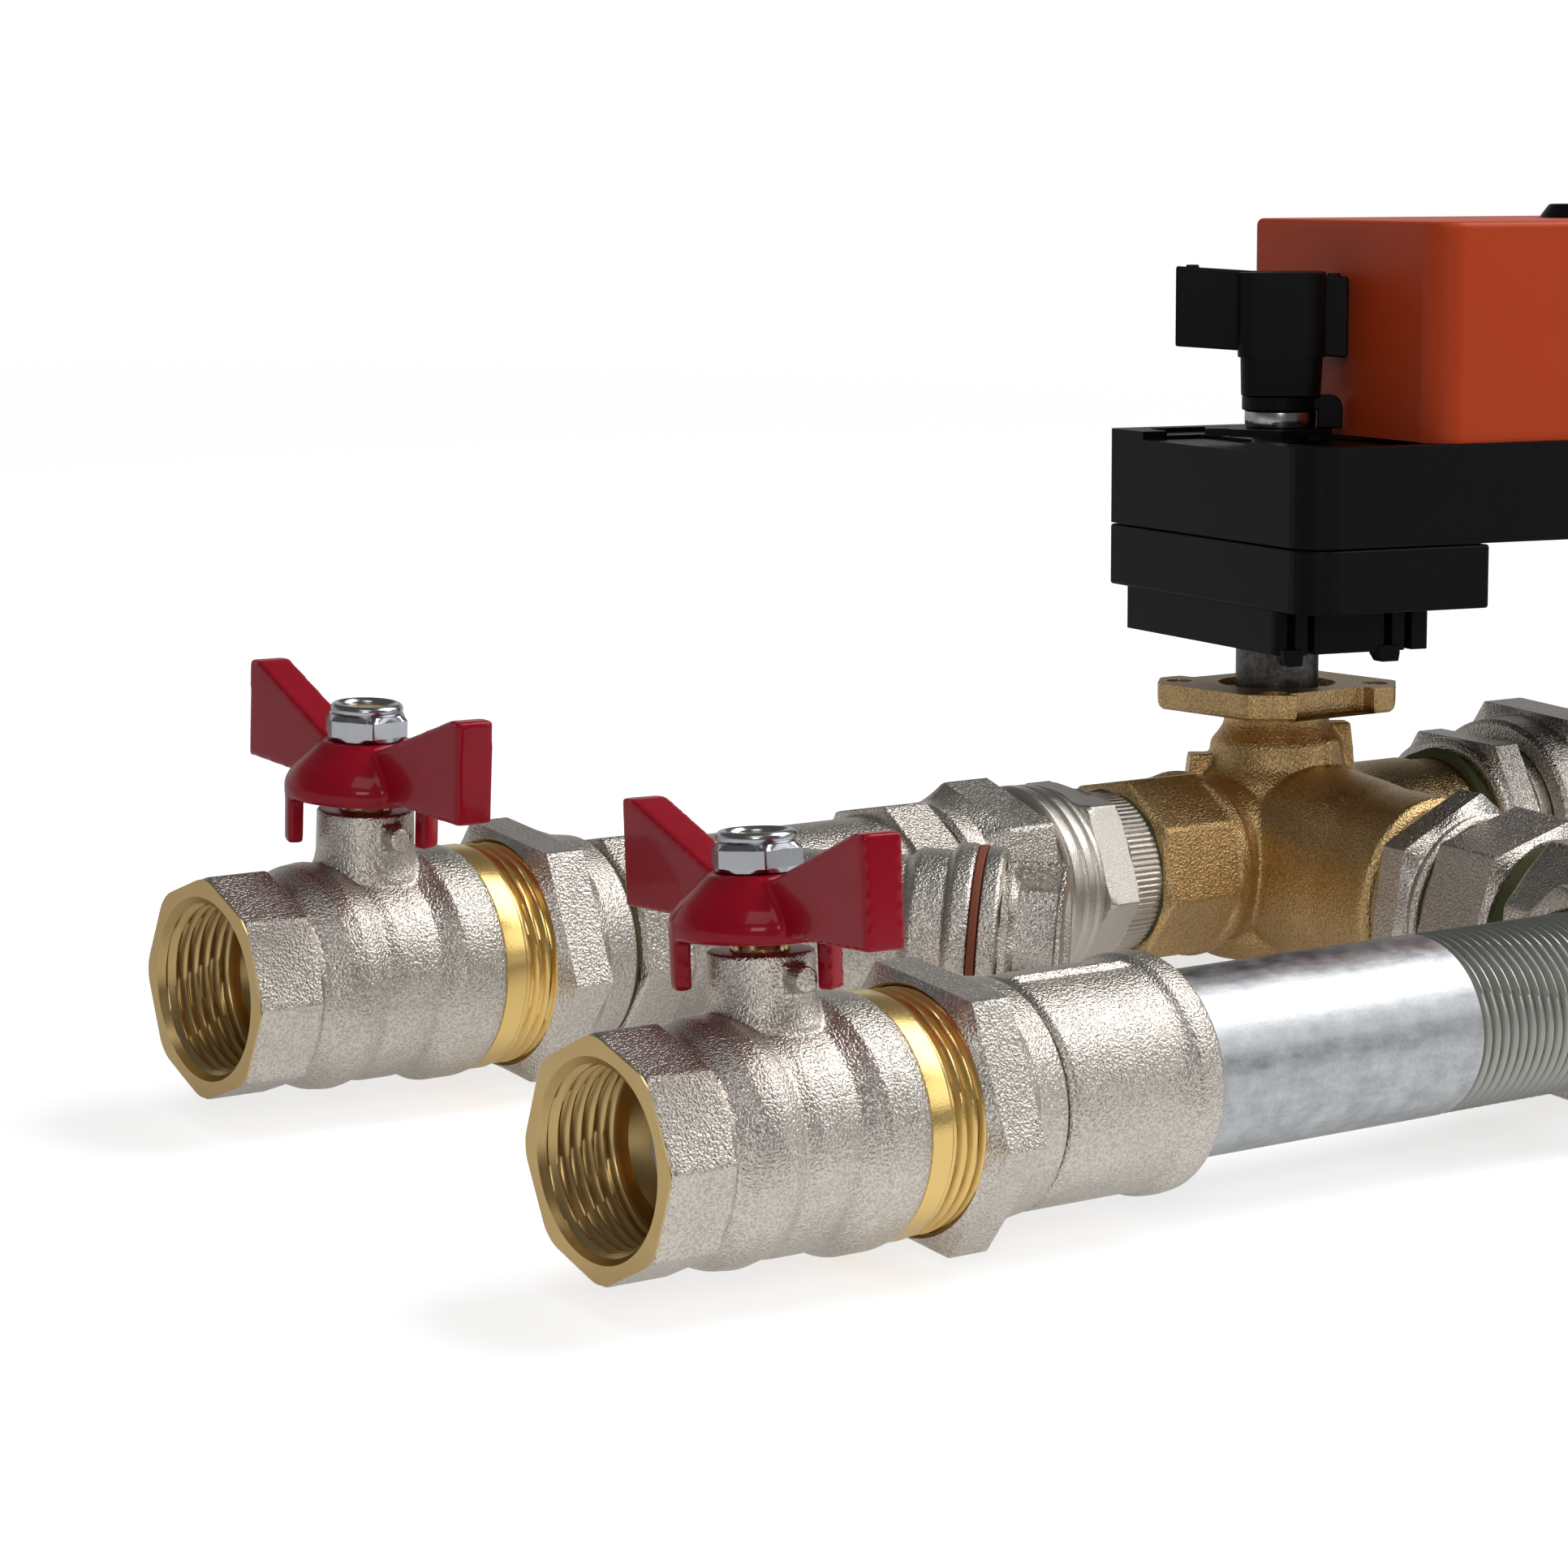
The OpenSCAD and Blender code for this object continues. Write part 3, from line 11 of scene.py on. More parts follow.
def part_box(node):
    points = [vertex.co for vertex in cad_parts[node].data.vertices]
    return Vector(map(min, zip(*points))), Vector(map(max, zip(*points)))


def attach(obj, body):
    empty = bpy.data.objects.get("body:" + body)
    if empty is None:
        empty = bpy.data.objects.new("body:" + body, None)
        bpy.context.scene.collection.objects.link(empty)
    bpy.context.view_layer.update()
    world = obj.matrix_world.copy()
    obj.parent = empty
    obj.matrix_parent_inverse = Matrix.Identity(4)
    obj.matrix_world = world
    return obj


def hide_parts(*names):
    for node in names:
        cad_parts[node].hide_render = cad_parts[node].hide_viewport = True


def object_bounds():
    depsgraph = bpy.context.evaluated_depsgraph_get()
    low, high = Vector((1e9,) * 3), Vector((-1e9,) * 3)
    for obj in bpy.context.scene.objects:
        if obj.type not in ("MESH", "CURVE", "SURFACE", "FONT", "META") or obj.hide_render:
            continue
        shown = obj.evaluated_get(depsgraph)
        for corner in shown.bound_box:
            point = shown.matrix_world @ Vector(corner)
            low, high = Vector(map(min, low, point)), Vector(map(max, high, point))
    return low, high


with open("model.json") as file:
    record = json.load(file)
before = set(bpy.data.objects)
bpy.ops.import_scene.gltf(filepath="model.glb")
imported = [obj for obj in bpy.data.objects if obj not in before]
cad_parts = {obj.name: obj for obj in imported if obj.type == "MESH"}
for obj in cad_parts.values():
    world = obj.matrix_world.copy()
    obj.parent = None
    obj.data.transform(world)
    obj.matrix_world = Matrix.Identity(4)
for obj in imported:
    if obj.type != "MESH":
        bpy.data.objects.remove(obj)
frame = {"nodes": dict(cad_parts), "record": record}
cad_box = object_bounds()

MM = 0.001
TURN = 2 * math.pi

# Thread sizes in millimetres: the pitch serves the one inch thread and the union thread above it
PITCH = 2.309
INCH_CREST = 16.62
INCH_BORE = 15.15
UNION_CREST = 20.95
PIPE_OUTER, PIPE_INNER = 16.85, 13.6

JOINTS = {joint["name"]: joint for joint in frame["record"]["behaviour"]["joints"]}


# Places, all in millimetres, taken from the frame

def low(node, axis):
    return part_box(node)[0][axis] / MM


def high(node, axis):
    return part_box(node)[1][axis] / MM


def joint_place(name):
    return [value / MM for value in JOINTS[name]["pos_m"]]


def lean(name):
    """How far a stem leans from upright towards the supply line, in radians."""
    axis = JOINTS[name]["axis"]
    return math.atan2(axis[1], axis[2])


def placed(x=0.0, y=0.0, z=0.0, roll=0.0, yaw=0.0):
    """Pipe frame: X along the pipe, rolled about X, then turned about its own Z."""
    spot = Matrix.Translation(Vector((x, y, z)))
    return spot @ Matrix.Rotation(-roll, 4, "X") @ Matrix.Rotation(yaw, 4, "Z")


stem_x = joint_place("return_valve")[0]
line_gap = joint_place("supply_valve")[1]
mixer_x = joint_place("mixer")[0]
return_line = placed()
supply_line = placed(y=line_gap)
bypass_line = placed(x=mixer_x, y=line_gap, yaw=-math.pi / 2)
mixer_stem = placed(x=mixer_x, y=line_gap, roll=lean("mixer"))
idler = joint_place("idler")
actuator_yaw = math.atan2(
    (idler[1] - line_gap) / math.cos(lean("mixer")), idler[0] - mixer_x
)
actuator = mixer_stem @ Matrix.Rotation(actuator_yaw, 4, "Z")
return_valve = placed(roll=lean("return_valve"))
supply_valve = placed(y=line_gap, roll=lean("supply_valve"))


# Shader maths

class Signal:
    """A shader socket that takes plain arithmetic."""

    def __init__(self, finish, socket):
        self.finish = finish
        self.socket = socket

    def math(self, operation, *values):
        return self.finish.node(
            "ShaderNodeMath", {"operation": operation}, dict(enumerate(values))
        )

    def __add__(self, other):
        return self.math("ADD", self, other)

    __radd__ = __add__

    def __sub__(self, other):
        return self.math("SUBTRACT", self, other)

    def __rsub__(self, other):
        return self.math("SUBTRACT", other, self)

    def __mul__(self, other):
        return self.math("MULTIPLY", self, other)

    __rmul__ = __mul__

    def clamped(self):
        return self.math("MINIMUM", self.math("MAXIMUM", self, 0.0), 1.0)

    def between(self, start, end):
        """0 below start, 1 above end, smooth between."""
        return self.finish.node(
            "ShaderNodeMapRange",
            {"interpolation_type": "SMOOTHSTEP"},
            {"Value": self, "From Min": start, "From Max": end},
        )


class Nodes:
    """Makes and joins the nodes of one shader tree."""

    def __init__(self, tree):
        self.tree = tree

    def node(self, kind, settings=None, values=None, output=0):
        made = self.tree.nodes.new(kind)
        for key, value in (settings or {}).items():
            if key == "stops":
                for stop, (at, colour) in zip(self._stops(made, len(value)), value):
                    stop.position = at
                    stop.color = (*colour, 1)
            else:
                setattr(made, key, value)
        for key, value in (values or {}).items():
            self.feed(made.inputs[key], value)
        return Signal(self, made.outputs[output])

    @staticmethod
    def _stops(ramp, count):
        stops = ramp.color_ramp.elements
        while len(stops) < count:
            stops.new(1.0)
        return stops

    def feed(self, socket, value):
        if isinstance(value, Signal):
            self.tree.links.new(value.socket, socket)
        elif socket.type == "RGBA" and len(value) == 3:
            socket.default_value = (*value, 1)
        else:
            socket.default_value = value

    def mix(self, factor, first, second):
        """Colour between first and second."""
        made = self.tree.nodes.new("ShaderNodeMix")
        made.data_type = "RGBA"
        for socket, value in (
            (made.inputs[0], factor),
            (made.inputs[6], first),
            (made.inputs[7], second),
        ):
            self.feed(socket, value)
        return Signal(self, made.outputs[2])


class Finish(Nodes):
    """A material built on one Principled shader."""

    def __init__(self, name, **surface):
        self.material = bpy.data.materials.new(name)
        self.material.use_nodes = True
        super().__init__(self.material.node_tree)
        self.shader = next(n for n in self.tree.nodes if n.type == "BSDF_PRINCIPLED")
        for socket, value in surface.items():
            self.set(socket.replace("_", " ").title().replace("Ior", "IOR"), value)
        self.place = self.node("ShaderNodeTexCoord", output="Object")

    def set(self, socket, value):
        self.feed(self.shader.inputs[socket], value)

    def noise(self, scale, detail=2.0, rough=0.5, place=None):
        """Value noise with features about 1 / scale metres across."""
        return self.node(
            "ShaderNodeTexNoise",
            {"noise_dimensions": "3D"},
            {"Vector": place or self.place, "Scale": scale, "Detail": detail, "Roughness": rough},
        )

    def ramp(self, factor, stops):
        return self.node("ShaderNodeValToRGB", {"stops": stops}, {"Fac": factor})

    def bump(self, height, distance, strength=1.0):
        self.set("Normal", self.node(
            "ShaderNodeBump", {}, {"Height": height, "Distance": distance, "Strength": strength}
        ))

    def stretched(self, x, y, z):
        """Object coordinates stretched along the axes, for brushing and ribs."""
        return self.node(
            "ShaderNodeVectorMath", {"operation": "MULTIPLY"}, {0: self.place, 1: (x, y, z)}
        )


def blasted(name, pale, dark, roughness, grain, depth):
    """Plated or bare metal with the fine dimples of shot blasting."""
    finish = Finish(name, metallic=1.0)
    dimples = finish.noise(grain, 1.5, 0.5)
    patches = finish.noise(90, 3.0, 0.6)
    speckle = dimples.between(0.34, 0.62)
    finish.set("Base Color", finish.mix(speckle * 0.5 + patches * 0.5, dark, pale))
    finish.set("Roughness", roughness + 0.12 * patches)
    finish.bump(dimples, depth, 0.85)
    return finish.material


def machined(name, pale, dark, roughness):
    """Turned metal with fine tool marks across the pipe."""
    finish = Finish(name, metallic=1.0)
    marks = finish.noise(2600, 2.0, 0.6, finish.stretched(1, 0.02, 0.02))
    patches = finish.noise(60, 3.0, 0.6)
    finish.set("Base Color", finish.mix(marks * 0.5 + patches * 0.5, dark, pale))
    finish.set("Roughness", roughness + 0.14 * marks)
    finish.bump(marks, 0.00003, 0.35)
    return finish.material


def galvanised(name):
    """Zinc coat, softly clouded, with fine pits and long drawn streaks."""
    finish = Finish(name, metallic=1.0)
    clouds = finish.noise(230, 4.0, 0.62)
    streaks = finish.noise(620, 3.0, 0.6, finish.stretched(0.22, 1, 1))
    fine = finish.noise(1500, 3.0, 0.6)
    tone = clouds * 0.5 + streaks * 0.28 + fine * 0.22
    finish.set("Base Color", finish.ramp(
        tone, [(0.36, (0.36, 0.375, 0.39)), (0.5, (0.48, 0.495, 0.51)), (0.64, (0.62, 0.635, 0.645))],
    ))
    finish.set("Roughness", 0.14 + 0.5 * tone)
    finish.bump(streaks * 0.5 + fine * 0.5, 0.00012, 0.45)
    return finish.material


def thread_metal(name, crest, groove, crest_r, depth, roughness):
    """Thread metal coloured darker down in the grooves, in uneven patches. Radii in millimetres."""
    finish = Finish(name, metallic=0.9)
    around = finish.stretched(0, 1, 1)
    radius = finish.node("ShaderNodeVectorMath", {"operation": "LENGTH"}, {0: around}, "Value")
    down = 1.0 - radius.between((crest_r - depth) * MM, (crest_r - 0.25 * depth) * MM)
    groove_patchiness = finish.noise(420, 3.0, 0.6)
    fine = finish.noise(2800, 2.0, 0.6)
    # Grooves are coloured darker than the crests, in uneven patches
    finish.set("Base Color", finish.mix((down * (0.55 + 0.7 * groove_patchiness)).clamped(), crest, groove))
    finish.set("Roughness", (roughness + 0.3 * down + 0.15 * fine).clamped())
    finish.bump(fine, 0.00005, 0.4)
    return finish.material


def enamel(name):
    """Glossy red enamel, a little uneven under its gloss."""
    finish = Finish(name, roughness=0.3, coat_weight=0.3, coat_roughness=0.06)
    finish.shader.inputs["Specular IOR Level"].default_value = 0.1
    flow = finish.noise(160, 2.0, 0.5)
    specks = finish.noise(2600, 2.0, 0.5)
    finish.set("Base Color", finish.mix(flow, (0.33, 0.003, 0.015), (0.45, 0.005, 0.024)))
    finish.bump(flow * 0.8 + specks * 0.2, 0.0002, 0.22)
    return finish.material


def moulded(name, pale, dark, roughness, shine=0.5):
    """Moulded plastic with a faint spark-eroded grain."""
    finish = Finish(name)
    finish.shader.inputs["Specular IOR Level"].default_value = shine
    texture = finish.noise(2600, 3.0, 0.6)
    clouds = finish.noise(40, 2.0, 0.5)
    finish.set("Base Color", finish.mix(clouds * 0.6 + texture * 0.4, dark, pale))
    finish.set("Roughness", roughness + 0.1 * texture)
    finish.bump(texture, 0.00002, 0.3)
    return finish.material


def fibrous(name, pale, dark):
    """Pressed fibre or hemp."""
    finish = Finish(name, roughness=0.8)
    fibres = finish.noise(1500, 4.0, 0.7, finish.stretched(3, 0.6, 0.6))
    finish.set("Base Color", finish.mix(fibres, dark, pale))
    finish.bump(fibres, 0.00008, 0.6)
    return finish.material


def painted_iron(name):
    """Dark paint over the rough skin of a casting."""
    finish = Finish(name, roughness=0.42)
    skin_noise = finish.noise(700, 4.0, 0.6)
    clouds = finish.noise(50, 2.0, 0.5)
    finish.set("Base Color", finish.mix(clouds, (0.018, 0.022, 0.028), (0.035, 0.040, 0.048)))
    finish.bump(skin_noise, 0.0003, 0.4)
    return finish.material


NICKEL = blasted("nickel_blasted", (0.79, 0.735, 0.665), (0.40, 0.365, 0.32), 0.25, 2100, 0.00034)
NICKEL_SMOOTH = blasted("nickel_smooth", (0.70, 0.66, 0.60), (0.50, 0.46, 0.41), 0.27, 3600, 0.00008)
CAST_BRASS = blasted("brass_cast", (0.84, 0.58, 0.28), (0.36, 0.235, 0.10), 0.29, 2100, 0.00036)
BRASS = machined("brass_machined", (0.84, 0.62, 0.27), (0.68, 0.47, 0.17), 0.16)
BRASS_THREAD = machined("brass_thread", (0.72, 0.53, 0.25), (0.46, 0.31, 0.12), 0.26)
ZINC = machined("zinc_plate", (0.52, 0.53, 0.55), (0.36, 0.37, 0.40), 0.13)
STEEL = blasted("steel_dark", (0.20, 0.19, 0.19), (0.07, 0.066, 0.066), 0.34, 900, 0.00006)
POLISHED = machined("steel_polished", (0.85, 0.86, 0.88), (0.78, 0.79, 0.81), 0.06)
GALVANISED = galvanised("galvanised")
PIPE_THREAD = thread_metal(
    "pipe_thread", (0.40, 0.41, 0.38), (0.17, 0.13, 0.08), INCH_CREST, 1.2, 0.3
)
UNION_THREAD = thread_metal(
    "union_thread", (0.85, 0.60, 0.22), (0.50, 0.30, 0.08), UNION_CREST, 1.2, 0.16
)
RED = enamel("red_enamel")
BLACK = moulded("black_plastic", (0.007, 0.007, 0.0075), (0.004, 0.004, 0.0045), 0.34, shine=0.1)
ORANGE = moulded("orange_plastic", (0.62, 0.070, 0.014), (0.54, 0.056, 0.011), 0.34, shine=0.2)
BLUE_NYLON = moulded("blue_nylon", (0.05, 0.16, 0.42), (0.03, 0.11, 0.33), 0.4)
WHITE_PLASTIC = moulded("white_plastic", (0.78, 0.78, 0.74), (0.68, 0.68, 0.64), 0.4)
FIBRE = fibrous("red_fibre", (0.36, 0.10, 0.05), (0.18, 0.045, 0.02))
SEALANT = fibrous("sealant", (0.10, 0.10, 0.03), (0.03, 0.045, 0.015))
RUBBER = moulded("black_rubber", (0.02, 0.02, 0.02), (0.012, 0.012, 0.012), 0.6)
IRON = painted_iron("painted_iron")


# Mesh making, in millimetres round the X axis of a pipe frame

def softened(section, radius, steps=3, closed=True):
    """The section with its corners rounded off."""
    count = len(section)
    points = [np.array(p[:2], float) for p in section]
    out = []
    for i, corner in enumerate(points):
        if not closed and i in (0, count - 1):
            out.append(tuple(corner))
            continue
        before = points[i - 1] - corner
        after = points[(i + 1) % count] - corner
        reach = min(radius, 0.45 * np.linalg.norm(before), 0.45 * np.linalg.norm(after))
        a = corner + before / max(np.linalg.norm(before), 1e-6) * reach
        b = corner + after / max(np.linalg.norm(after), 1e-6) * reach
        for step in range(steps + 1):
            t = step / steps
            out.append(tuple((1 - t) ** 2 * a + 2 * t * (1 - t) * corner + t * t * b))
    return out


def flats(sides, corner, turn, crisp=150):
    """Outline of a polygon: radius for each angle. A higher crisp makes sharper corners."""
    half = math.pi / sides
    walls = [(turn + half + 2 * half * i, corner * math.cos(half)) for i in range(sides)]

    def outline(x, r, angle):
        reach = np.power(1.0 / np.maximum(r, 1e-3), crisp) * np.ones_like(angle)
        for wall, distance in walls:
            cosine = np.maximum(np.cos(angle - wall), 1e-3)
            reach = reach + np.power(cosine / distance, crisp)
        return np.power(reach, -1.0 / crisp)

    return outline


def helix(x, angle):
    """Depth of a thread at a place, from 0 on its crest to 1 in its groove."""
    phase = np.mod(x / PITCH - angle / TURN, 1.0)
    return np.clip((np.abs(2 * phase - 1) - 0.12) / 0.76, 0, 1)


def threaded(crest, depth, start, end):
    """Radius with a helical thread cut into what is at the crest radius."""

    def outline(x, r, angle):
        groove = helix(x, angle)
        groove = groove * groove * (3 - 2 * groove) * 0.35 + groove * 0.65
        fade = np.clip((x - start) / 0.3, 0, 1) * np.clip((end - x) / 1.5, 0, 1)
        on_crest = np.abs(r - crest) < 0.02
        return np.where(on_crest, r - depth * groove * fade, r)

    return outline


def spread(start, end, step):
    """Places from start to end about step apart."""
    count = max(2, int(abs(end - start) / step) + 1)
    return np.linspace(start, end, count)


def thread_section(start, end, crest, inner):
    """Section of a tube whose outside is sampled finely enough for a thread."""
    return (
        [(start, inner), (start, crest - 1.3)]
        + [(x, crest) for x in spread(start + 0.6, end - 0.05, PITCH / 9)]
        + [(end, crest - 1.3), (end, inner)]
    )


def skin(section, shape=None, around=160, closed=True):
    """Surface of revolution round X through (x, r) points, bent by shape(x, r, angle)."""
    points = np.array([p[:2] for p in section], float)
    angle = np.linspace(0, TURN, around, endpoint=False)[None, :]
    x = points[:, :1]
    r = points[:, 1:2] * np.ones_like(angle)
    if shape:
        r = shape(x, points[:, 1:2], angle)
    verts = np.stack(
        [x * np.ones_like(angle), -r * np.sin(angle), r * np.cos(angle)], axis=-1
    ).reshape(-1, 3)
    rings = len(points)
    last = rings if closed else rings - 1
    i = np.arange(last)[:, None]
    j = np.arange(around)[None, :]
    nxt = (i + 1) % rings
    side = (j + 1) % around
    quads = np.stack(
        [i * around + j, i * around + side, nxt * around + side, nxt * around + j], axis=-1
    ).reshape(-1, 4).tolist()
    if not closed:
        quads.append(list(range(around))[::-1])
        quads.append([(rings - 1) * around + k for k in range(around)])
    return verts, quads


def slab(outline, low_z, high_z):
    """Prism of a polygon in XY between two heights."""
    count = len(outline)
    verts = [(x, y, z) for z in (low_z, high_z) for x, y in outline]
    faces = [
        [i, (i + 1) % count, count + (i + 1) % count, count + i] for i in range(count)
    ]
    faces += [list(range(count))[::-1], [count + i for i in range(count)]]
    return np.array(verts, float), faces


def moved(part, matrix):
    verts, faces = part
    table = np.array(matrix)
    return verts @ table[:3, :3].T + table[:3, 3], faces


def upright(part):
    """A part made round X, set round Z instead."""
    return moved(part, Matrix.Rotation(-math.pi / 2, 4, "Y"))


def joined(parts):
    verts, faces, base = [], [], 0
    for part_verts, part_faces in parts:
        verts.append(part_verts)
        faces += [[base + v for v in face] for face in part_faces]
        base += len(part_verts)
    return np.concatenate(verts), faces


def mesh_object(name, parts, place):
    verts, faces = moved(joined(parts), place)
    mesh = bpy.data.meshes.new(name)
    mesh.from_pydata((verts * MM).tolist(), [], faces)
    mesh.update()
    made = bpy.data.objects.new(name, mesh)
    bpy.context.scene.collection.objects.link(made)
    return made


def tidy_normals(made, sharp):
    """Smooth shading, broken at the edges that turn by more than sharp degrees."""
    made.data.shade_smooth()
    made.data.set_sharp_from_angle(angle=math.radians(sharp))
    weighted = made.modifiers.new("weighted", "WEIGHTED_NORMAL")
    weighted.keep_sharp = True


def piece(name, body, finish, place, parts, replaces=()):
    """A finished piece of the object that rides a body and may stand for a CAD node."""
    made = mesh_object(name, parts, place)
    clean(made)
    tidy_normals(made, 38)
    settle(made, body, finish, replaces)


def clean(made):
    """Turns every face outwards."""
    bpy.context.view_layer.objects.active = made
    made.select_set(True)
    bpy.ops.object.mode_set(mode="EDIT")
    bpy.ops.mesh.select_all(action="SELECT")
    bpy.ops.mesh.normals_make_consistent(inside=False)
    bpy.ops.object.mode_set(mode="OBJECT")
    made.select_set(False)


def settle(made, body, finish, replaces):
    """Gives a piece its one finish and its body, and hides the CAD nodes that it stands for."""
    made.data.materials.clear()
    made.data.materials.append(finish)
    made.data.polygons.foreach_set("material_index", [0] * len(made.data.polygons))
    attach(made, body)
    if replaces:
        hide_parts(*replaces)


def cast(name, body, finish, place, parts, replaces, voxel, smooth):
    """Parts melted into one casting with soft inner corners."""
    made = mesh_object(name, parts, place)
    clean(made)
    apply_modifier(made, "REMESH", mode="VOXEL", voxel_size=voxel * MM, use_smooth_shade=True)
    apply_modifier(made, "SMOOTH", factor=0.5, iterations=smooth)
    made.data.shade_smooth()
    settle(made, body, finish, replaces)


def apply_modifier(made, kind, **settings):
    modifier = made.modifiers.new("step", kind)
    for key, value in settings.items():
        setattr(modifier, key, value)
    shaped = bpy.data.meshes.new_from_object(
        made.evaluated_get(bpy.context.evaluated_depsgraph_get())
    )
    made.modifiers.clear()
    old = made.data
    made.data = shaped
    bpy.data.meshes.remove(old)


def take_away(made, cut, place):
    """Cuts a solid out of a mesh."""
    tool = mesh_object("cut", [cut], place)
    clean(tool)
    apply_modifier(made, "BOOLEAN", object=tool, operation="DIFFERENCE", solver="MANIFOLD")
    bpy.data.objects.remove(tool)


def soft_edges(made, width, segments=2):
    """Rounds off the sharp edges."""
    bevel = made.modifiers.new("edge", "BEVEL")
    bevel.width = width * MM
    bevel.segments = segments
    bevel.limit_method = "ANGLE"
    bevel.angle_limit = math.radians(34)
    bevel.harden_normals = True
    bevel.use_clamp_overlap = True


def dress(node, finish):
    """A CAD node keeps its shape and gets softened edges and a finish."""
    made = frame["nodes"][node]
    made.data.materials.clear()
    made.data.materials.append(finish)
    weld = made.modifiers.new("weld", "WELD")
    weld.merge_threshold = 0.000002
    soft_edges(made, 0.25)


# Ball valves

def valve_body(side, place):
    """Plated casting with its neck, stop lug and pin, and the brass thread of its mouth."""
    octagon = flats(8, 20.84, 0)
    section = softened([
        (0.15, 17.2), (0.15, 19.6), (0.9, 22.5), (12.9, 22.5), (13.8, 18.9), (15.2, 18.9),
        (17.2, 19.8), (19.4, 20.7), (23.0, 21.1), (25.2, 20.7), (27.6, 19.9), (30.2, 20.4),
        (36.2, 20.4), (38.8, 20.0), (41.2, 20.9), (43.2, 22.0), (49.6, 22.0), (52.0, 21.5), (52.0, 17.2),
    ], 0.5)

    def outside(x, r, angle):
        return np.where(x < 13.9, octagon(x, r, angle), r * np.ones_like(angle))

    stem = Matrix.Translation(Vector((stem_x, 0, 0)))
    neck = moved(upright(skin(softened([
        (12, 0.5), (12, 11.0), (18.5, 10.5), (20.6, 9.5), (22.5, 9.1), (30.5, 9.0), (30.5, 0.5),
    ], 0.6), around=96)), stem)
    lug = moved(slab([(-2.2, -9.6), (2.2, -9.6), (2.2, 0), (-2.2, 0)], 24.3, 28.8), stem)
    pin = moved(skin(softened([(-12.7, 0.2), (-12.7, 2.0), (-12.2, 2.3), (0, 2.3), (0, 0.2)], 0.3)),
                stem @ Matrix.Translation((0, 0, 26.5)) @ Matrix.Rotation(math.pi / 2, 4, "Z"))
    cast(f"{side}_valve_casting", "frame", NICKEL, place, [skin(section, outside), neck, lug, pin],
         [f"{side}_valve_body"], voxel=0.32, smooth=3)

    bore = [(0.0, 20.2), (0.0, 16.9), (1.5, INCH_BORE)]
    bore += [(x, INCH_BORE) for x in spread(1.6, 14.3, PITCH / 9)]
    bore += [(14.5, 14.6), (14.5, 11.6), (19.0, 11.6), (19.0, 17.3), (0.3, 17.3), (0.3, 20.2)]

    def inside(x, r, angle):
        groove = helix(x, angle)
        fade = np.clip((x - 0.2) / 1.2, 0, 1) * np.clip((14.3 - x) / 1.2, 0, 1)
        cut = np.where(np.abs(r - INCH_BORE) < 0.02, r + 1.25 * groove * fade, r)
        return np.where(r > 18, octagon(x, r, angle), cut)

    piece(f"{side}_mouth_thread", "frame", BRASS_THREAD, place, [skin(bore, inside, 192)])


def valve_end(side, place):
    """Brass end with its bright band and the union thread."""
    section = [(51.5, 12.0), (51.5, 20.8)]
    section += [(52.0, 20.9), (52.2, 21.25), (56.2, 21.3), (56.6, 21.0)]
    section += [(x, UNION_CREST) for x in spread(56.8, 68.0, PITCH / 9)]
    section += [(69.0, 19.9), (69.0, 12.0)]
    piece(f"{side}_brass_end", "frame", UNION_THREAD, place,
          [skin(section, threaded(UNION_CREST, 1.15, 57.2, 68.6), 192)],
          [f"{side}_valve_end"])


def on_stem(place, closed):
    """Frame of what turns on a valve's stem, in the closed place of the photo."""
    return place @ placed(x=stem_x) @ Matrix.Rotation(-math.radians(closed), 4, "Z")


def handle(side, place, closed):
    """Red wing handle with its two stop legs, in the valve frame."""
    dome = upright(skin(softened([
        (36.2, 0.5), (36.2, 11.9), (32.8, 11.9), (32.8, 15.0), (35.9, 15.0),
        (38.4, 13.4), (41.5, 10.2), (43.4, 8.4), (43.5, 0.5),
    ], 0.7), around=128))
    reach, thick, tip = 40.4, 3.65, 52.8
    wing = [
        (-reach, 34.1), (reach, 34.1), (reach, tip), (reach - 3.4, tip),
        (9.0, 42.6), (-9.0, 42.6), (3.4 - reach, tip), (-reach, tip),
    ]
    blade = moved(slab(wing, -thick, thick), Matrix.Rotation(math.pi / 2, 4, "X"))
    legs = [leg(28.0), leg(253.4)]
    cast(f"{side}_wing_handle", f"{side}_handle_turning", RED, on_stem(place, closed),
         [dome, blade, *legs], [f"{side}_handle"], voxel=0.36, smooth=28)


def leg(middle):
    """Stop leg of the handle, a slice of a ring round middle degrees."""
    inner, outer, bottom, top = 11.9, 14.9, 24.5, 35.5
    half = math.radians(9)
    centre = math.radians(middle)
    angles = np.linspace(centre - half, centre + half, 8)
    outline = [(outer * math.cos(a), outer * math.sin(a)) for a in angles]
    outline += [(inner * math.cos(a), inner * math.sin(a)) for a in angles[::-1]]
    return slab(outline, bottom, top)


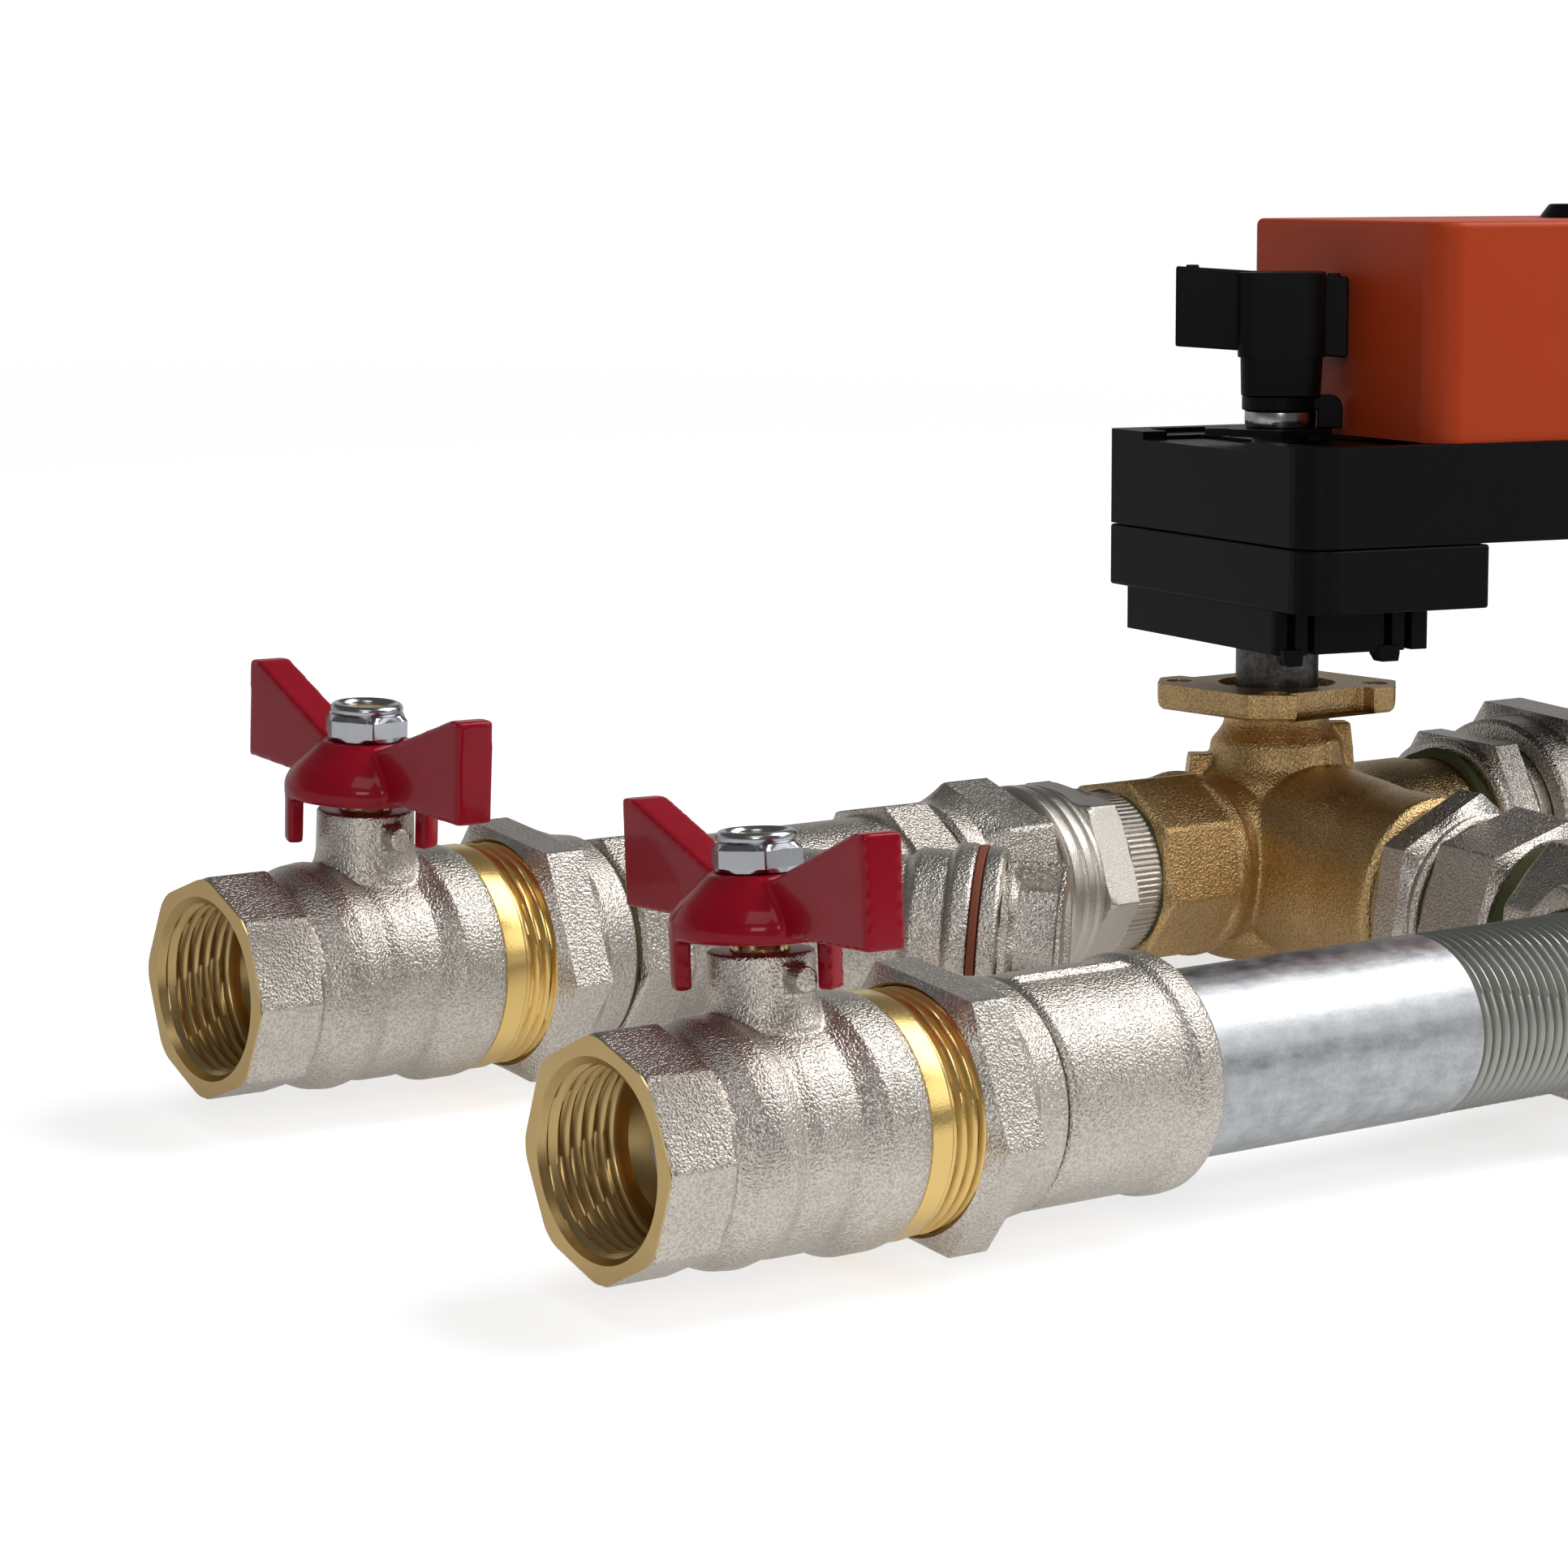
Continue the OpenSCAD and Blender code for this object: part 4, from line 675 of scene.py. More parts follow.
def lock_nut(side, place, closed):
    """Zinc-plated nut with a rolled collar round its nylon ring."""
    spot = on_stem(place, closed)
    base = 43.6
    hexagon = flats(6, 8.1, math.radians(40), crisp=260)
    outside = softened([
        (base, 4.3), (base, 6.9), (base + 0.9, 8.4), (base + 3.7, 8.4), (base + 4.7, 6.8),
    ], 0.15, closed=False)
    collar = softened([
        (base + 4.75, 6.4), (base + 5.2, 6.7), (base + 6.0, 6.7), (base + 6.6, 6.1),
        (base + 6.6, 5.5), (base + 6.1, 4.9), (base + 5.2, 4.5),
    ], 0.3, closed=False)

    def shape(x, r, angle):
        return np.where(x < base + 4.7, hexagon(x, r, angle), r * np.ones_like(angle))

    piece(f"{side}_nut_on_stem", f"{side}_handle_turning", ZINC, spot,
          [upright(skin(outside + collar, shape, 192))], [f"{side}_lock_nut"])
    insert = softened([(base + 4.6, 3.9), (base + 4.6, 4.8), (base + 5.5, 4.8), (base + 5.5, 3.9)], 0.3)
    piece(f"{side}_nylon_ring", f"{side}_handle_turning", BLUE_NYLON, spot,
          [upright(skin(insert, around=96))])


def cornered(sides, corner, turn, start, end, keep=0.0):
    """Bends a round section into a polygon between two places, outside the radius kept round."""
    polygon = flats(sides, corner, math.radians(turn), crisp=190)

    def shape(x, r, angle):
        bent = (x > start - 0.01) & (x < end + 0.01) & (r > keep)
        return np.where(bent, polygon(x, r, angle), r * np.ones_like(angle))

    return shape


def union_nut(name, place, thread_end, hex_end, lip_end, corner, turn, lip_r, bore_r, shoulder_r, node):
    """Union nut from its thread end to its lip end, with conical chamfers on the hexagon."""
    way = 1 if lip_end > thread_end else -1
    apothem = corner * math.cos(math.pi / 6)
    reach = corner + 1.2
    section = softened([
        (thread_end + way * 8, bore_r), (thread_end + way * 0.8, bore_r), (thread_end, bore_r + 0.7),
        (thread_end, apothem - 0.7), (thread_end + way * 1.9, reach), (hex_end - way * 2.0, reach),
        (hex_end, apothem - 0.7), (hex_end + way * 0.4, apothem - 1.0),
        (lip_end - way * 0.9, shoulder_r), (lip_end, shoulder_r - 1.0), (lip_end, lip_r),
        (lip_end - way * 3, lip_r),
    ], 0.35)
    first, last = sorted((thread_end, hex_end))
    piece(name, "frame", NICKEL, place,
          [skin(section, cornered(6, corner, turn, first, last, bore_r + 1.2), 240)], [node])


for side, place in (("return", return_valve), ("supply", supply_valve)):
    closed = {"return": 97.4, "supply": 93.5}[side]
    valve_body(side, place)
    valve_end(side, place)
    handle(side, place, closed)
    lock_nut(side, place, closed)


# Pipe fittings

strainer_start = low("strainer_body", 0)
strainer_end = strainer_start + 82
leg_line = placed(x=strainer_start + 24, y=line_gap, yaw=-math.pi / 4)

for side, place in (("return", return_line), ("supply", supply_line)):
    union_nut(f"{side}_nut", place, 63.0, 74.7, 82.6, 25.9, 33, 17.75, 21.0, 20.6,
              f"{side}_union_nut")


def tube(start, end, outer, inner, edge=0.3):
    """Section of a plain tube with softened ends."""
    return softened([(start, inner), (start, outer), (end, outer), (end, inner)], edge)


def ridges(places, height, width, start, end, above):
    """Fine lengthwise ridges on a round surface. Places are angles in degrees."""

    def shape(x, r, angle):
        swell = np.zeros_like(angle) * x
        for place in places:
            off = np.mod(angle - math.radians(place) + math.pi, TURN) - math.pi
            swell = swell + height * np.exp(-((off * r / width) ** 2))
        fade = np.clip((x - start) / 0.8, 0, 1) * np.clip((end - x) / 0.8, 0, 1)
        return r + np.where(r > above, swell * fade, 0.0)

    return shape


def return_tailpiece():
    """Tail with a raised rim and two parting lines along it."""
    section = softened([
        (70.5, 12.5), (70.5, 20.1), (74.1, 20.1), (74.1, 17.6), (83.0, 17.6), (83.0, 19.5),
        (83.8, 20.3), (85.0, 20.4), (97.0, 20.4), (108.6, 20.4), (110.2, 20.7), (111.3, 21.4),
        (113.6, 21.6), (116.2, 21.4), (117.3, 20.4), (117.4, 17.0), (104.0, 17.0), (104.0, 12.5),
    ], 0.5)
    piece("return_tail", "frame", NICKEL, return_line,
          [skin(section, ridges((2, 6), 0.45, 0.42, 84.2, 110.0, 19.9), 600)],
          ["return_tailpiece"])


def pipe_thread(name, place, start, end, crest, inner, finish):
    piece(name, "frame", finish, place, [skin(
        thread_section(start, end, crest, inner), threaded(crest, 1.25, start, end), 192,
    )])


def return_pipes():
    """Galvanised pipes before and after the tee, each with its thread."""
    piece("return_pipe_wall", "frame", GALVANISED, return_line,
          [skin(tube(102.4, 184.5, PIPE_OUTER, PIPE_INNER))], ["return_pipe"])
    pipe_thread("return_pipe_thread", return_line, 184.4, 239.9, 16.75, PIPE_INNER, PIPE_THREAD)
    end = high("heater_return_pipe", 0)
    piece("heater_pipe_wall", "frame", GALVANISED, return_line,
          [skin(tube(291.9, end - 16, PIPE_OUTER, PIPE_INNER))], ["heater_return_pipe"])
    pipe_thread("heater_pipe_thread", return_line, end - 16.1, end - 0.1, INCH_CREST, PIPE_INNER,
                PIPE_THREAD)


def octagon_tube(start, end, corner, turn, mouth, inner, waist):
    """Straight fitting with an octagon at each end and a softer waist."""
    polygon_near = cornered(8, corner, turn, start, start + mouth, inner + 2)
    polygon_far = cornered(8, corner, turn, end - mouth, end, inner + 2)
    section = softened([
        (start, inner), (start, corner - 2.6), (start + 1.0, corner + 1), (start + mouth, corner + 1),
        (start + mouth, waist + 0.4), (start + mouth + 1.2, waist), (end - mouth - 1.2, waist),
        (end - mouth, waist + 0.4), (end - mouth, corner + 1), (end - 1.0, corner + 1),
        (end, corner - 2.6), (end, inner),
    ], 0.5)

    def shape(x, r, angle):
        return np.where(x < (start + end) / 2, polygon_near(x, r, angle), polygon_far(x, r, angle))

    return skin(section, shape, 240)


def return_tee():
    run = octagon_tube(-39, 39, 22, 22.5, 13, 16.7, 19.4)
    mouth = softened([
        (6, 13.5), (6, 18.8), (25.2, 18.8), (26, 19.2), (26, 23), (38, 23), (39, 19.4), (39, 16.7),
        (20, 16.7), (20, 13.5),
    ], 0.5)
    branch = moved(skin(mouth, cornered(8, 22, 22.5, 26, 39, 18.2), 240), placed(yaw=math.pi / 2))
    cast("tee_casting", "frame", NICKEL, placed(x=mixer_x), [run, branch], ["return_tee"],
         voxel=0.45, smooth=3)


def strainer():
    """Y strainer with its slanting neck, and the fibre gasket under its cap."""
    run = octagon_tube(strainer_start, strainer_end, 20.8, 8, 12, 16.6, 17.7)
    neck = skin(softened([
        (0.0, 13.8), (0.0, 16.6), (22.0, 17.0), (34.0, 17.4), (42.4, 17.4), (43.4, 17.0), (44.4, 18.0),
        (45.4, 19.0), (51.0, 19.0), (51.8, 18.7), (52.6, 20.2), (53.4, 20.6), (56.4, 20.6),
        (57.0, 20.1), (57.0, 13.8),
    ], 0.45), around=200)
    cast("strainer_casting", "frame", NICKEL, supply_line,
         [run, moved(neck, supply_line.inverted() @ leg_line)], ["strainer_body"],
         voxel=0.4, smooth=2)
    piece("cap_gasket", "frame", FIBRE, leg_line,
          [skin(tube(57.0, 58.5, 20.35, 13.8, 0.3))], ["strainer_gasket"])


def strainer_cap():
    """Screwed cap: an octagon with four drafted pockets, each over two of its flats."""
    octagon = flats(8, 18.6, math.radians(5), crisp=220)
    floor_octagon = flats(8, 16.8, math.radians(32), crisp=220)
    section = softened([
        (55.0, 10.8), (55.0, 13.5), (58.5, 13.5), (58.5, 19.4), (58.9, 20.2), (61.6, 20.2),
        (62.2, 19.8), (62.6, 17.2), (62.8, 21), *[(x, 21) for x in np.arange(63.2, 74.2, 0.2)],
        (74.4, 21), (74.6, 15.6), (74.6, 12.4), (73.4, 11.4), (73.4, 0.4), (60.0, 0.4), (60.0, 10.8),
    ], 0.15)

    def shape(x, r, angle):
        flat = octagon(x, r, angle)
        off = np.mod(angle - math.radians(5), math.pi / 2) * 18
        along = np.clip((x - 64.2) / 1.3, 0, 1) * np.clip((73.6 - x) / 0.5, 0, 1)
        across = np.clip((off - 1.0) / 0.5, 0, 1) * np.clip((math.pi * 9 - 1.0 - off) / 0.5, 0, 1)
        sunk = (flat - floor_octagon(x, r, angle)) * along * across
        return np.where((x > 62.7) & (r > 14), flat - sunk, r * np.ones_like(angle))

    head = skin(section, shape, 720)
    nub = moved(
        skin(softened([(0, 0.1), (0, 0.7), (1.0, 0.6), (1.4, 0.1)], 0.3, closed=False), around=24),
        Matrix.Rotation(math.radians(20), 4, "X") @ Matrix.Translation((68.6, 0, 14.6))
        @ Matrix.Rotation(-math.pi / 2, 4, "Y"),
    )
    piece("strainer_plug", "frame", NICKEL, leg_line, [head, nub], ["strainer_cap"])


def strainer_nut():
    """Union nut with a long plain collar."""
    corner, turn, first, last = 22.84, -15.7, 176.9, 190.3
    apothem = corner * math.cos(math.pi / 6)
    section = softened([
        (167.0, 16.7), (167.0, 18.2), (167.9, 19.2), (172.0, 19.3), (first, corner - 0.2),
        (first + 1.2, corner + 1), (last - 2.4, corner + 1), (last, apothem - 0.9), (last, 18.9),
        (172.0, 18.9), (172.0, 16.7),
    ], 0.35)
    piece("strainer_nut", "frame", NICKEL, supply_line,
          [skin(section, cornered(6, corner, turn, 167.5, last, 19.2), 240)],
          ["strainer_union_nut"])


def mixer_adaptor():
    """Turned adaptor: rings, a hexagon and a finely ribbed neck."""
    start = low("mixer_inlet_adaptor", 0)
    rings = [(190.4, 20.2), (191.2, 20.6), (193.6, 20.6), (194.2, 19.7), (194.8, 20.4), (196.8, 20.5),
             (197.4, 19.6), (198.0, 20.3), (199.4, 20.3), (200.0, 19.4)]
    section = softened([
        (start, 12.5), (start, 18.4), (190.2, 18.5), *rings, (200.0, 18.4), (200.8, 20.4), (202.4, 22.6),
        (208.2, 22.6), (208.8, 20.2), (209.0, 18.4), (209.1, 17.3), (217.8, 17.2), (217.8, 16.4),
        (230.8, 16.4), (230.8, 12.5),
    ], 0.22)
    hexagon = cornered(6, 21.2, 32.9, 200.05, 208.9, 17.4)

    def shape(x, r, angle):
        fine = np.clip(np.abs(np.mod(angle * 84 / TURN, 1.0) - 0.5) * 5 - 1.3, 0, 1)
        ribbed = (x > 209.2) & (x < 217.7) & (r > 17.0)
        return np.where(ribbed, r - 0.22 * fine, hexagon(x, r, angle))

    piece("mixer_adaptor", "frame", NICKEL_SMOOTH, supply_line, [skin(section, shape, 672)],
          ["mixer_inlet_adaptor"])


def stack(layers):
    """Solid through outlines of equal length, each given with its height."""
    count = len(layers[0][0])
    verts = [(x, y, z) for outline, z in layers for x, y in outline]
    faces = []
    for level in range(len(layers) - 1):
        a, b = level * count, (level + 1) * count
        faces += [[a + i, a + (i + 1) % count, b + (i + 1) % count, b + i] for i in range(count)]
    top = (len(layers) - 1) * count
    faces += [list(range(count))[::-1], [top + i for i in range(count)]]
    return np.array(verts, float), faces


def grown(outline, by):
    """Outline pushed outwards; it runs anticlockwise."""
    points = np.array([p[:2] for p in outline], float)
    ahead = np.roll(points, -1, 0) - points
    behind = points - np.roll(points, 1, 0)
    normal = np.stack([ahead[:, 1] + behind[:, 1], -ahead[:, 0] - behind[:, 0]], 1)
    normal /= np.maximum(np.linalg.norm(normal, axis=1, keepdims=True), 1e-6)
    return [tuple(p) for p in points + by * normal]


def mixer_body():
    """Brass three-way casting: octagon inlet, outlet, bypass branch, ball room and lugs."""
    octagon = skin(softened([
        (-48.1, 16.6), (-48.1, 17.6), (-46.8, 21.5), (-28.6, 21.5), (-27.6, 19.8), (-25.2, 19.7),
        (-23.6, 18.4), (-20.0, 17.4), (-15.0, 18.0), (-10.0, 19.4), (0.0, 20.3), (12.0, 19.4), (20.0, 17.6),
        (24.0, 17.3), (39.0, 17.3), (39.4, 16.4), (61.0, 16.4), (61.0, 13.2), (-30.0, 13.2),
        (-35.0, 16.6),
    ], 0.7), cornered(8, 20.4, 8, -48.2, -27.8, 17.2), 200)
    bypass = moved(skin(softened([
        (4.0, 9.8), (4.0, 20.4), (14.0, 21.4), (26.0, 20.8), (33.0, 20.2), (41.0, 20.6), (47.8, 21.2),
        (49.2, 19.6), (49.4, 18.5), (54.5, 18.5), (54.5, 9.8),
    ], 0.8), around=200), Matrix.Rotation(-math.pi / 2, 4, "Z"))
    lean_over = Matrix.Rotation(-lean("mixer"), 4, "X")
    ball_room = upright(skin(softened([
        (-22.0, 0.4), (-22.0, 15.0), (-18.0, 19.0), (-8.0, 21.2), (5.0, 21.6), (12.0, 20.2),
        (17.0, 17.0), (19.4, 14.8), (21.0, 14.4), (24.4, 14.2), (26.2, 12.6), (28.4, 11.2),
        (30.6, 11.4), (32.4, 14.6), (32.6, 9.2), (32.6, 0.4),
    ], 1.0), around=200))
    lugs = []
    for turn, wide, reach, foot, tall in (
        (145, 3.6, 19.8, 14.0, 21.7), (-28, 3.4, 16.8, 18.6, 28.2), (-76, 2.8, 15.6, 19.6, 25.8),
    ):
        block = stack([
            ([(8, -wide), (reach, -wide), (reach, wide), (8, wide)], foot),
            ([(8, 0.6 - wide), (reach - 0.9, 0.6 - wide), (reach - 0.9, wide - 0.6), (8, wide - 0.6)],
             tall),
        ])
        lugs.append(moved(block, Matrix.Rotation(math.radians(turn), 4, "Z")))
    lugs = [moved(lug, lean_over) for lug in lugs]
    cast("mixer_casting", "frame", CAST_BRASS, placed(x=mixer_x, y=line_gap),
         [octagon, bypass, moved(ball_room, lean_over), *lugs], ["mixer_body"], voxel=0.42, smooth=4)


def arc(cx, cy, r, start, end, steps):
    """Points of a circle between two angles in degrees."""
    return [
        (cx + r * math.cos(math.radians(a)), cy + r * math.sin(math.radians(a)))
        for a in np.linspace(start, end, steps)
    ]


def mixer_flange():
    """Square mounting flange with cut corners, open sides, four holes and a recess."""
    half, short, inner, top = 22.0, 14.0, 18.0, 37.0
    hole_circle, hole_r, recess_r = 21, 2.8, 12.6
    outline = softened([
        (short, -half), (half, -short), (half, short), (short, half), (short, inner),
        (-8.0, inner), (-8.0, half), (-short, half), (-half, short), (-half, -short),
        (-short, -half), (-short, -inner), (8.0, -inner), (8.0, -half),
    ], 1.3)
    plate = stack([
        (grown(outline, -1.1), 31.4), (grown(outline, -0.4), 32.0), (grown(outline, -0.1), 32.8),
        (outline, 33.8), (outline, top),
    ])
    made = mesh_object("mixer_flange", [plate], mixer_stem)
    clean(made)
    holes = [
        slab(arc(hole_circle * math.cos(a), hole_circle * math.sin(a), hole_r, 0, 352, 32), 30.0, 40.0)
        for a in np.radians([45, 135, 225, 315])
    ]
    for hole in [*holes, slab(arc(0, 0, recess_r, 0, 355, 72), 34.8, 40.0)]:
        take_away(made, hole, mixer_stem)
    soft_edges(made, 0.3)
    settle(made, "frame", CAST_BRASS, ())


def pillar():
    """Grey steel column of the actuator, in its brass ring."""
    section = tube(34.4, 52.0, 8.9, 6.1)
    foot = softened([(34.5, 8.6), (34.5, 11.9), (35.6, 11.6), (35.9, 8.6)], 0.3)
    piece("steel_pillar", "frame", STEEL, mixer_stem, [upright(skin(section))],
          ["actuator_pillar"])
    piece("pillar_ring", "frame", CAST_BRASS, mixer_stem, [upright(skin(foot))])


def bypass():
    """Union nut and adaptor between the mixing valve and the tee."""
    union_nut("bypass_nut", bypass_line, 50.0, 59.4, 62.2, 23.7, 55, 16.7, 18.7, 20.2,
              "bypass_union_nut")
    section = softened([
        (56.0, 12.5), (56.0, 18.2), (59.6, 18.2), (59.6, 16.5), (62.8, 16.5), (62.8, 18.4),
        (64.4, 23.6), (79.4, 23.6), (81.0, 18.4), (81.0, 16.5), (98.0, 16.5), (98.0, 12.5),
    ], 0.35)
    piece("bypass_nipple", "frame", NICKEL, bypass_line,
          [skin(section, cornered(6, 22.6, 45, 62.7, 81.1, 17.4), 240)], ["bypass_adaptor"])


def pump_fittings():
    """Tails and union nuts on both sides of the pump."""
    tail_start = low("pump_inlet_tail", 0)
    section = softened([
        (tail_start, 16.6), (tail_start, 19.4), (tail_start + 0.7, 20.6), (tail_start + 2.0, 20.8),
        (tail_start + 2.2, 19.6), (tail_start + 3.8, 24.6), (tail_start + 10.6, 24.6),
        (tail_start + 12.0, 19.8), (tail_start + 12.2, 19.0), (344.1, 19.0), (344.1, 14.2),
        (328.0, 14.2), (328.0, 16.6),
    ], 0.3)
    hexagon = cornered(6, 23.7, 28, tail_start + 2.3, tail_start + 12.0, 19.3)
    piece("pump_tail", "frame", NICKEL, supply_line, [skin(section, hexagon, 240)],
          ["pump_inlet_tail"])
    pump_nut("pump_nut_near", 356.0, 341.0, 333.0, "pump_inlet_nut")
    pump_nut("pump_nut_far", 515.2, 530.2, 538.2, "pump_outlet_nut")
    end = high("heater_supply_tail", 0)
    section = softened([
        (527.1, 12.5), (527.1, 19.0), (539.3, 19.0), (539.4, 19.9), (540.6, 24.6), (546.0, 24.6),
        (547.2, 19.6), (547.3, 16.4), (547.3, 12.5),
    ], 0.3)
    piece("heater_tail", "frame", NICKEL, supply_line,
          [skin(section, cornered(6, 23.7, 28, 539.35, 547.25, 19.3), 240)],
          ["heater_supply_tail"])
    pipe_thread("heater_tail_thread", supply_line, 547.2, end - 0.1, INCH_CREST, 12.5, NICKEL_SMOOTH)


def pump_nut(name, thread_end, hex_end, lip_end, node):
    union_nut(name, supply_line, thread_end, hex_end, lip_end, 28.8, 30, 19.2, 23.95, 23.6, node)


def sealant(name, place, start, end, outer):
    """Hemp and paste squeezed out of a screwed joint, a little uneven."""
    section = softened([
        (start, 16.4), (start, outer), ((start + end) / 2, outer + 0.5), (end, outer), (end, 16.4),
    ], 0.3)

    def shape(x, r, angle):
        wave = 0.22 * np.sin(5 * angle + x) + 0.14 * np.sin(13 * angle - 2 * x)
        return np.where(r > 16.6, r + wave, r)

    piece(name, "frame", SEALANT, place, [skin(section, shape, 200)])


return_tailpiece()
return_pipes()
return_tee()
strainer()
strainer_cap()
strainer_nut()
mixer_adaptor()
mixer_body()
mixer_flange()
pillar()
bypass()
pump_fittings()
sealant("strainer_joint", supply_line, 82.7, 84.3, 18.6)
sealant("strainer_outlet_joint", supply_line, 165.7, 167.2, 17.6)
sealant("mixer_joint", supply_line, 217.6, 219.2, 17.4)
sealant("outlet_joint", supply_line, 313.6, 316.7, 17.9)
sealant("bypass_joint", bypass_line, 80.8, 86.3, 17.7)


# Actuator

def carved(name, body, finish, place, parts, replaces=(), cuts=(), edge=0.6, segments=3):
    """Moulded part: cuts are taken out of it and its edges are rounded."""
    made = mesh_object(name, parts, place)
    clean(made)
    for cut in cuts:
        take_away(made, cut, place)
    soft_edges(made, edge, segments)
    settle(made, body, finish, replaces)


def rounded(x0, x1, y0, y1, radii, steps=8):
    """Rectangle outline, anticlockwise; one corner radius or four, in that order from (x1, y1)."""
    a, b, c, d = radii if isinstance(radii, tuple) else (radii,) * 4
    return (
        arc(x1 - a, y1 - a, a, 0, 90, steps) + arc(x0 + b, y1 - b, b, 90, 180, steps)
        + arc(x0 + c, y0 + c, c, 180, 270, steps) + arc(x1 - d, y0 + d, d, 270, 360, steps)
    )


front, back, half_width = -18.4, 109.0, 42.3
base_low, base_top, cover_top = 69.1, 90.0, 135.9
button_x = 76
knob_line = actuator @ Matrix.Rotation(-math.radians(30), 4, "Z")


def actuator_base():
    """Black lower housing with a notch, a shallow well and the spindle's hole."""
    outline = rounded(front, back, -half_width, half_width, (5, 1.6, 7.5, 5))
    notch = slab(rounded(front - 4, -3.0, -16.5, 27.0, 1.5), base_top - 1.8, base_top + 1)
    well = slab(rounded(front + 6, 16, 5 - half_width, half_width - 5, 4), base_top - 1.0, base_top + 1)
    spindle = slab(arc(0, 0, 6.4, 0, 352, 40), base_low - 1, base_top + 1)
    carved("actuator_case", "frame", BLACK, actuator,
           [stack([(outline, base_low + 0.15), (outline, base_top)])], ["actuator_base"],
           [notch, well, spindle], edge=1.1, segments=4)


def actuator_cover():
    """Orange cover; its side face lies a little behind the round column at its near corner."""
    half, near, column = 35.5, 41.0, 6.5
    start, end = 13.7, back - 2.5
    outline = (
        arc(end - 7, half - 7, 7, 0, 90, 8) + arc(start + 2.5, half - 2.5, 2.5, 90, 180, 7)
        + [(start, column + 0.9 - near), (start - 0.6, column + 0.5 - near)]
        + arc(start - 0.6 + column, column - near, column, 180, 270, 14)
        + arc(end - 7, 7 - near, 7, 270, 360, 8)
    )
    layers = [(outline, base_top + 0.1), (outline, cover_top - 1.5)]
    for step in range(1, 6):
        a = math.radians(18 * step)
        layers.append((grown(outline, 1.5 * math.cos(a) - 1.5), cover_top - 1.5 * (1 - math.sin(a))))
    hole = slab(arc(button_x, 0, 9.3, 0, 355, 64), cover_top - 6, cover_top + 2)
    made = mesh_object("orange_cover", [stack(layers)], actuator)
    clean(made)
    take_away(made, hole, actuator)
    tidy_normals(made, 30)
    settle(made, "frame", ORANGE, ["actuator_cover"])


def actuator_adaptor():
    """Black stepped block under the housing, with slots and two snap feet."""
    wide = rounded(front, 26, -half_width, half_width, (1, 1.6, 7.5, 1))
    narrow = rounded(front + 1.2, 19, -30.1, 36.3, (1, 1, 4, 1))
    carved("adaptor_upper", "frame", BLACK, actuator, [stack([(wide, 55.6), (wide, 68.95)])],
           ["actuator_adaptor"], edge=0.6)
    slots = [
        slab([(e, -31.5), (f, -31.5), (f, -27.0), (e, -27.0)], 40.0, 55.2)
        for e, f in ((-15.4, -13.7), (-10.7, -9.1), (7.9, 9.9), (13.0, 14.7))
    ]
    hole = slab(arc(0, 0, 9.1, 0, 354, 60), 44.0, 52.0)
    carved("adaptor_lower", "frame", BLACK, actuator, [stack([(narrow, 46.2), (narrow, 56.0)])],
           cuts=[*slots, hole], edge=0.35)
    for number, (e, f) in enumerate(((-16.4, -11.7), (6.3, 11.9))):
        foot = stack([
            (rounded(e + 1.0, f - 0.3, -30.4, -26.8, 0.4, 3), 43.95),
            (rounded(e, f, -30.4, -26.6, 0.4, 3), 45.6), (rounded(e, f, -30.4, -26.6, 0.4, 3), 47.5),
        ])
        carved(f"adaptor_foot_{number}", "frame", BLACK, actuator, [foot], edge=0.2)


def hand_knob():
    """Black T-handle: a hub, one blade through it and two nubs."""
    long_wing, short_wing, thick = 22.5, 14.1, 2.5
    hub = stack([
        (rounded(-8.4, 8.4, -9.0, 9.0, 4.2), 98.95), (rounded(-8.6, 8.8, -9.4, 9.4, 4.0), 107.0),
        (rounded(-9.2, 9.2, -9.4, 9.4, 3.6), 107.1), (rounded(-9.2, 9.2, -9.4, 9.4, 3.6), 125.0),
    ])
    bore = slab(arc(0, 0, 6.1, 0, 352, 40), 98.0, 100.2)
    carved("knob_hub", "mixer_spindle", BLACK, knob_line, [hub], ["actuator_knob"], [bore], edge=0.7)
    side = [(-long_wing, 109.2), (short_wing, 106.8), (short_wing, 123.9), (-long_wing, 126.2)]
    wing = moved(slab(side, -thick, thick), Matrix.Rotation(math.pi / 2, 4, "X"))
    carved("knob_wings", "mixer_spindle", BLACK, knob_line, [wing], edge=0.5)
    for number, (e, foot) in enumerate(((-19.0, 125.4), (11.0, 123.6))):
        nub = stack([(rounded(e - 1.6, e + 1.6, -1.2, 1.2, 0.5, 3), foot),
                     (rounded(e - 1.3, e + 1.3, -0.9, 0.9, 0.5, 3), foot + 1.1)])
        carved(f"knob_nub_{number}", "mixer_spindle", BLACK, knob_line, [nub], edge=0.15)


def spindle_clamp():
    """Zinc ring on the spindle under a black cap with a bent arm."""
    ring = softened([(91.9, 6.1), (91.9, 7.4), (93.4, 7.6), (95.5, 7.6), (95.5, 6.1)], 0.3)
    piece("clamp_ring", "mixer_spindle", ZINC, actuator, [upright(skin(ring))],
          ["actuator_clamp"])
    cap = slab(arc(0, 0, 8.2, 0, 352, 48), 95.6, 98.8)
    carved("clamp_cap", "mixer_spindle", BLACK, knob_line, [cap], edge=0.4)
    arm = [(0, 95.8), (7.9, 95.8), (7.9, 91.9), (13.2, 91.9)] + arc(10.6, 96.2, 2.6, 0, 90, 6) + [(0, 98.8)]
    arm = moved(slab(arm, -4.0, 4.0), Matrix.Rotation(math.pi / 2, 4, "X"))
    carved("clamp_arm", "mixer_spindle", BLACK, knob_line, [arm], edge=0.4)


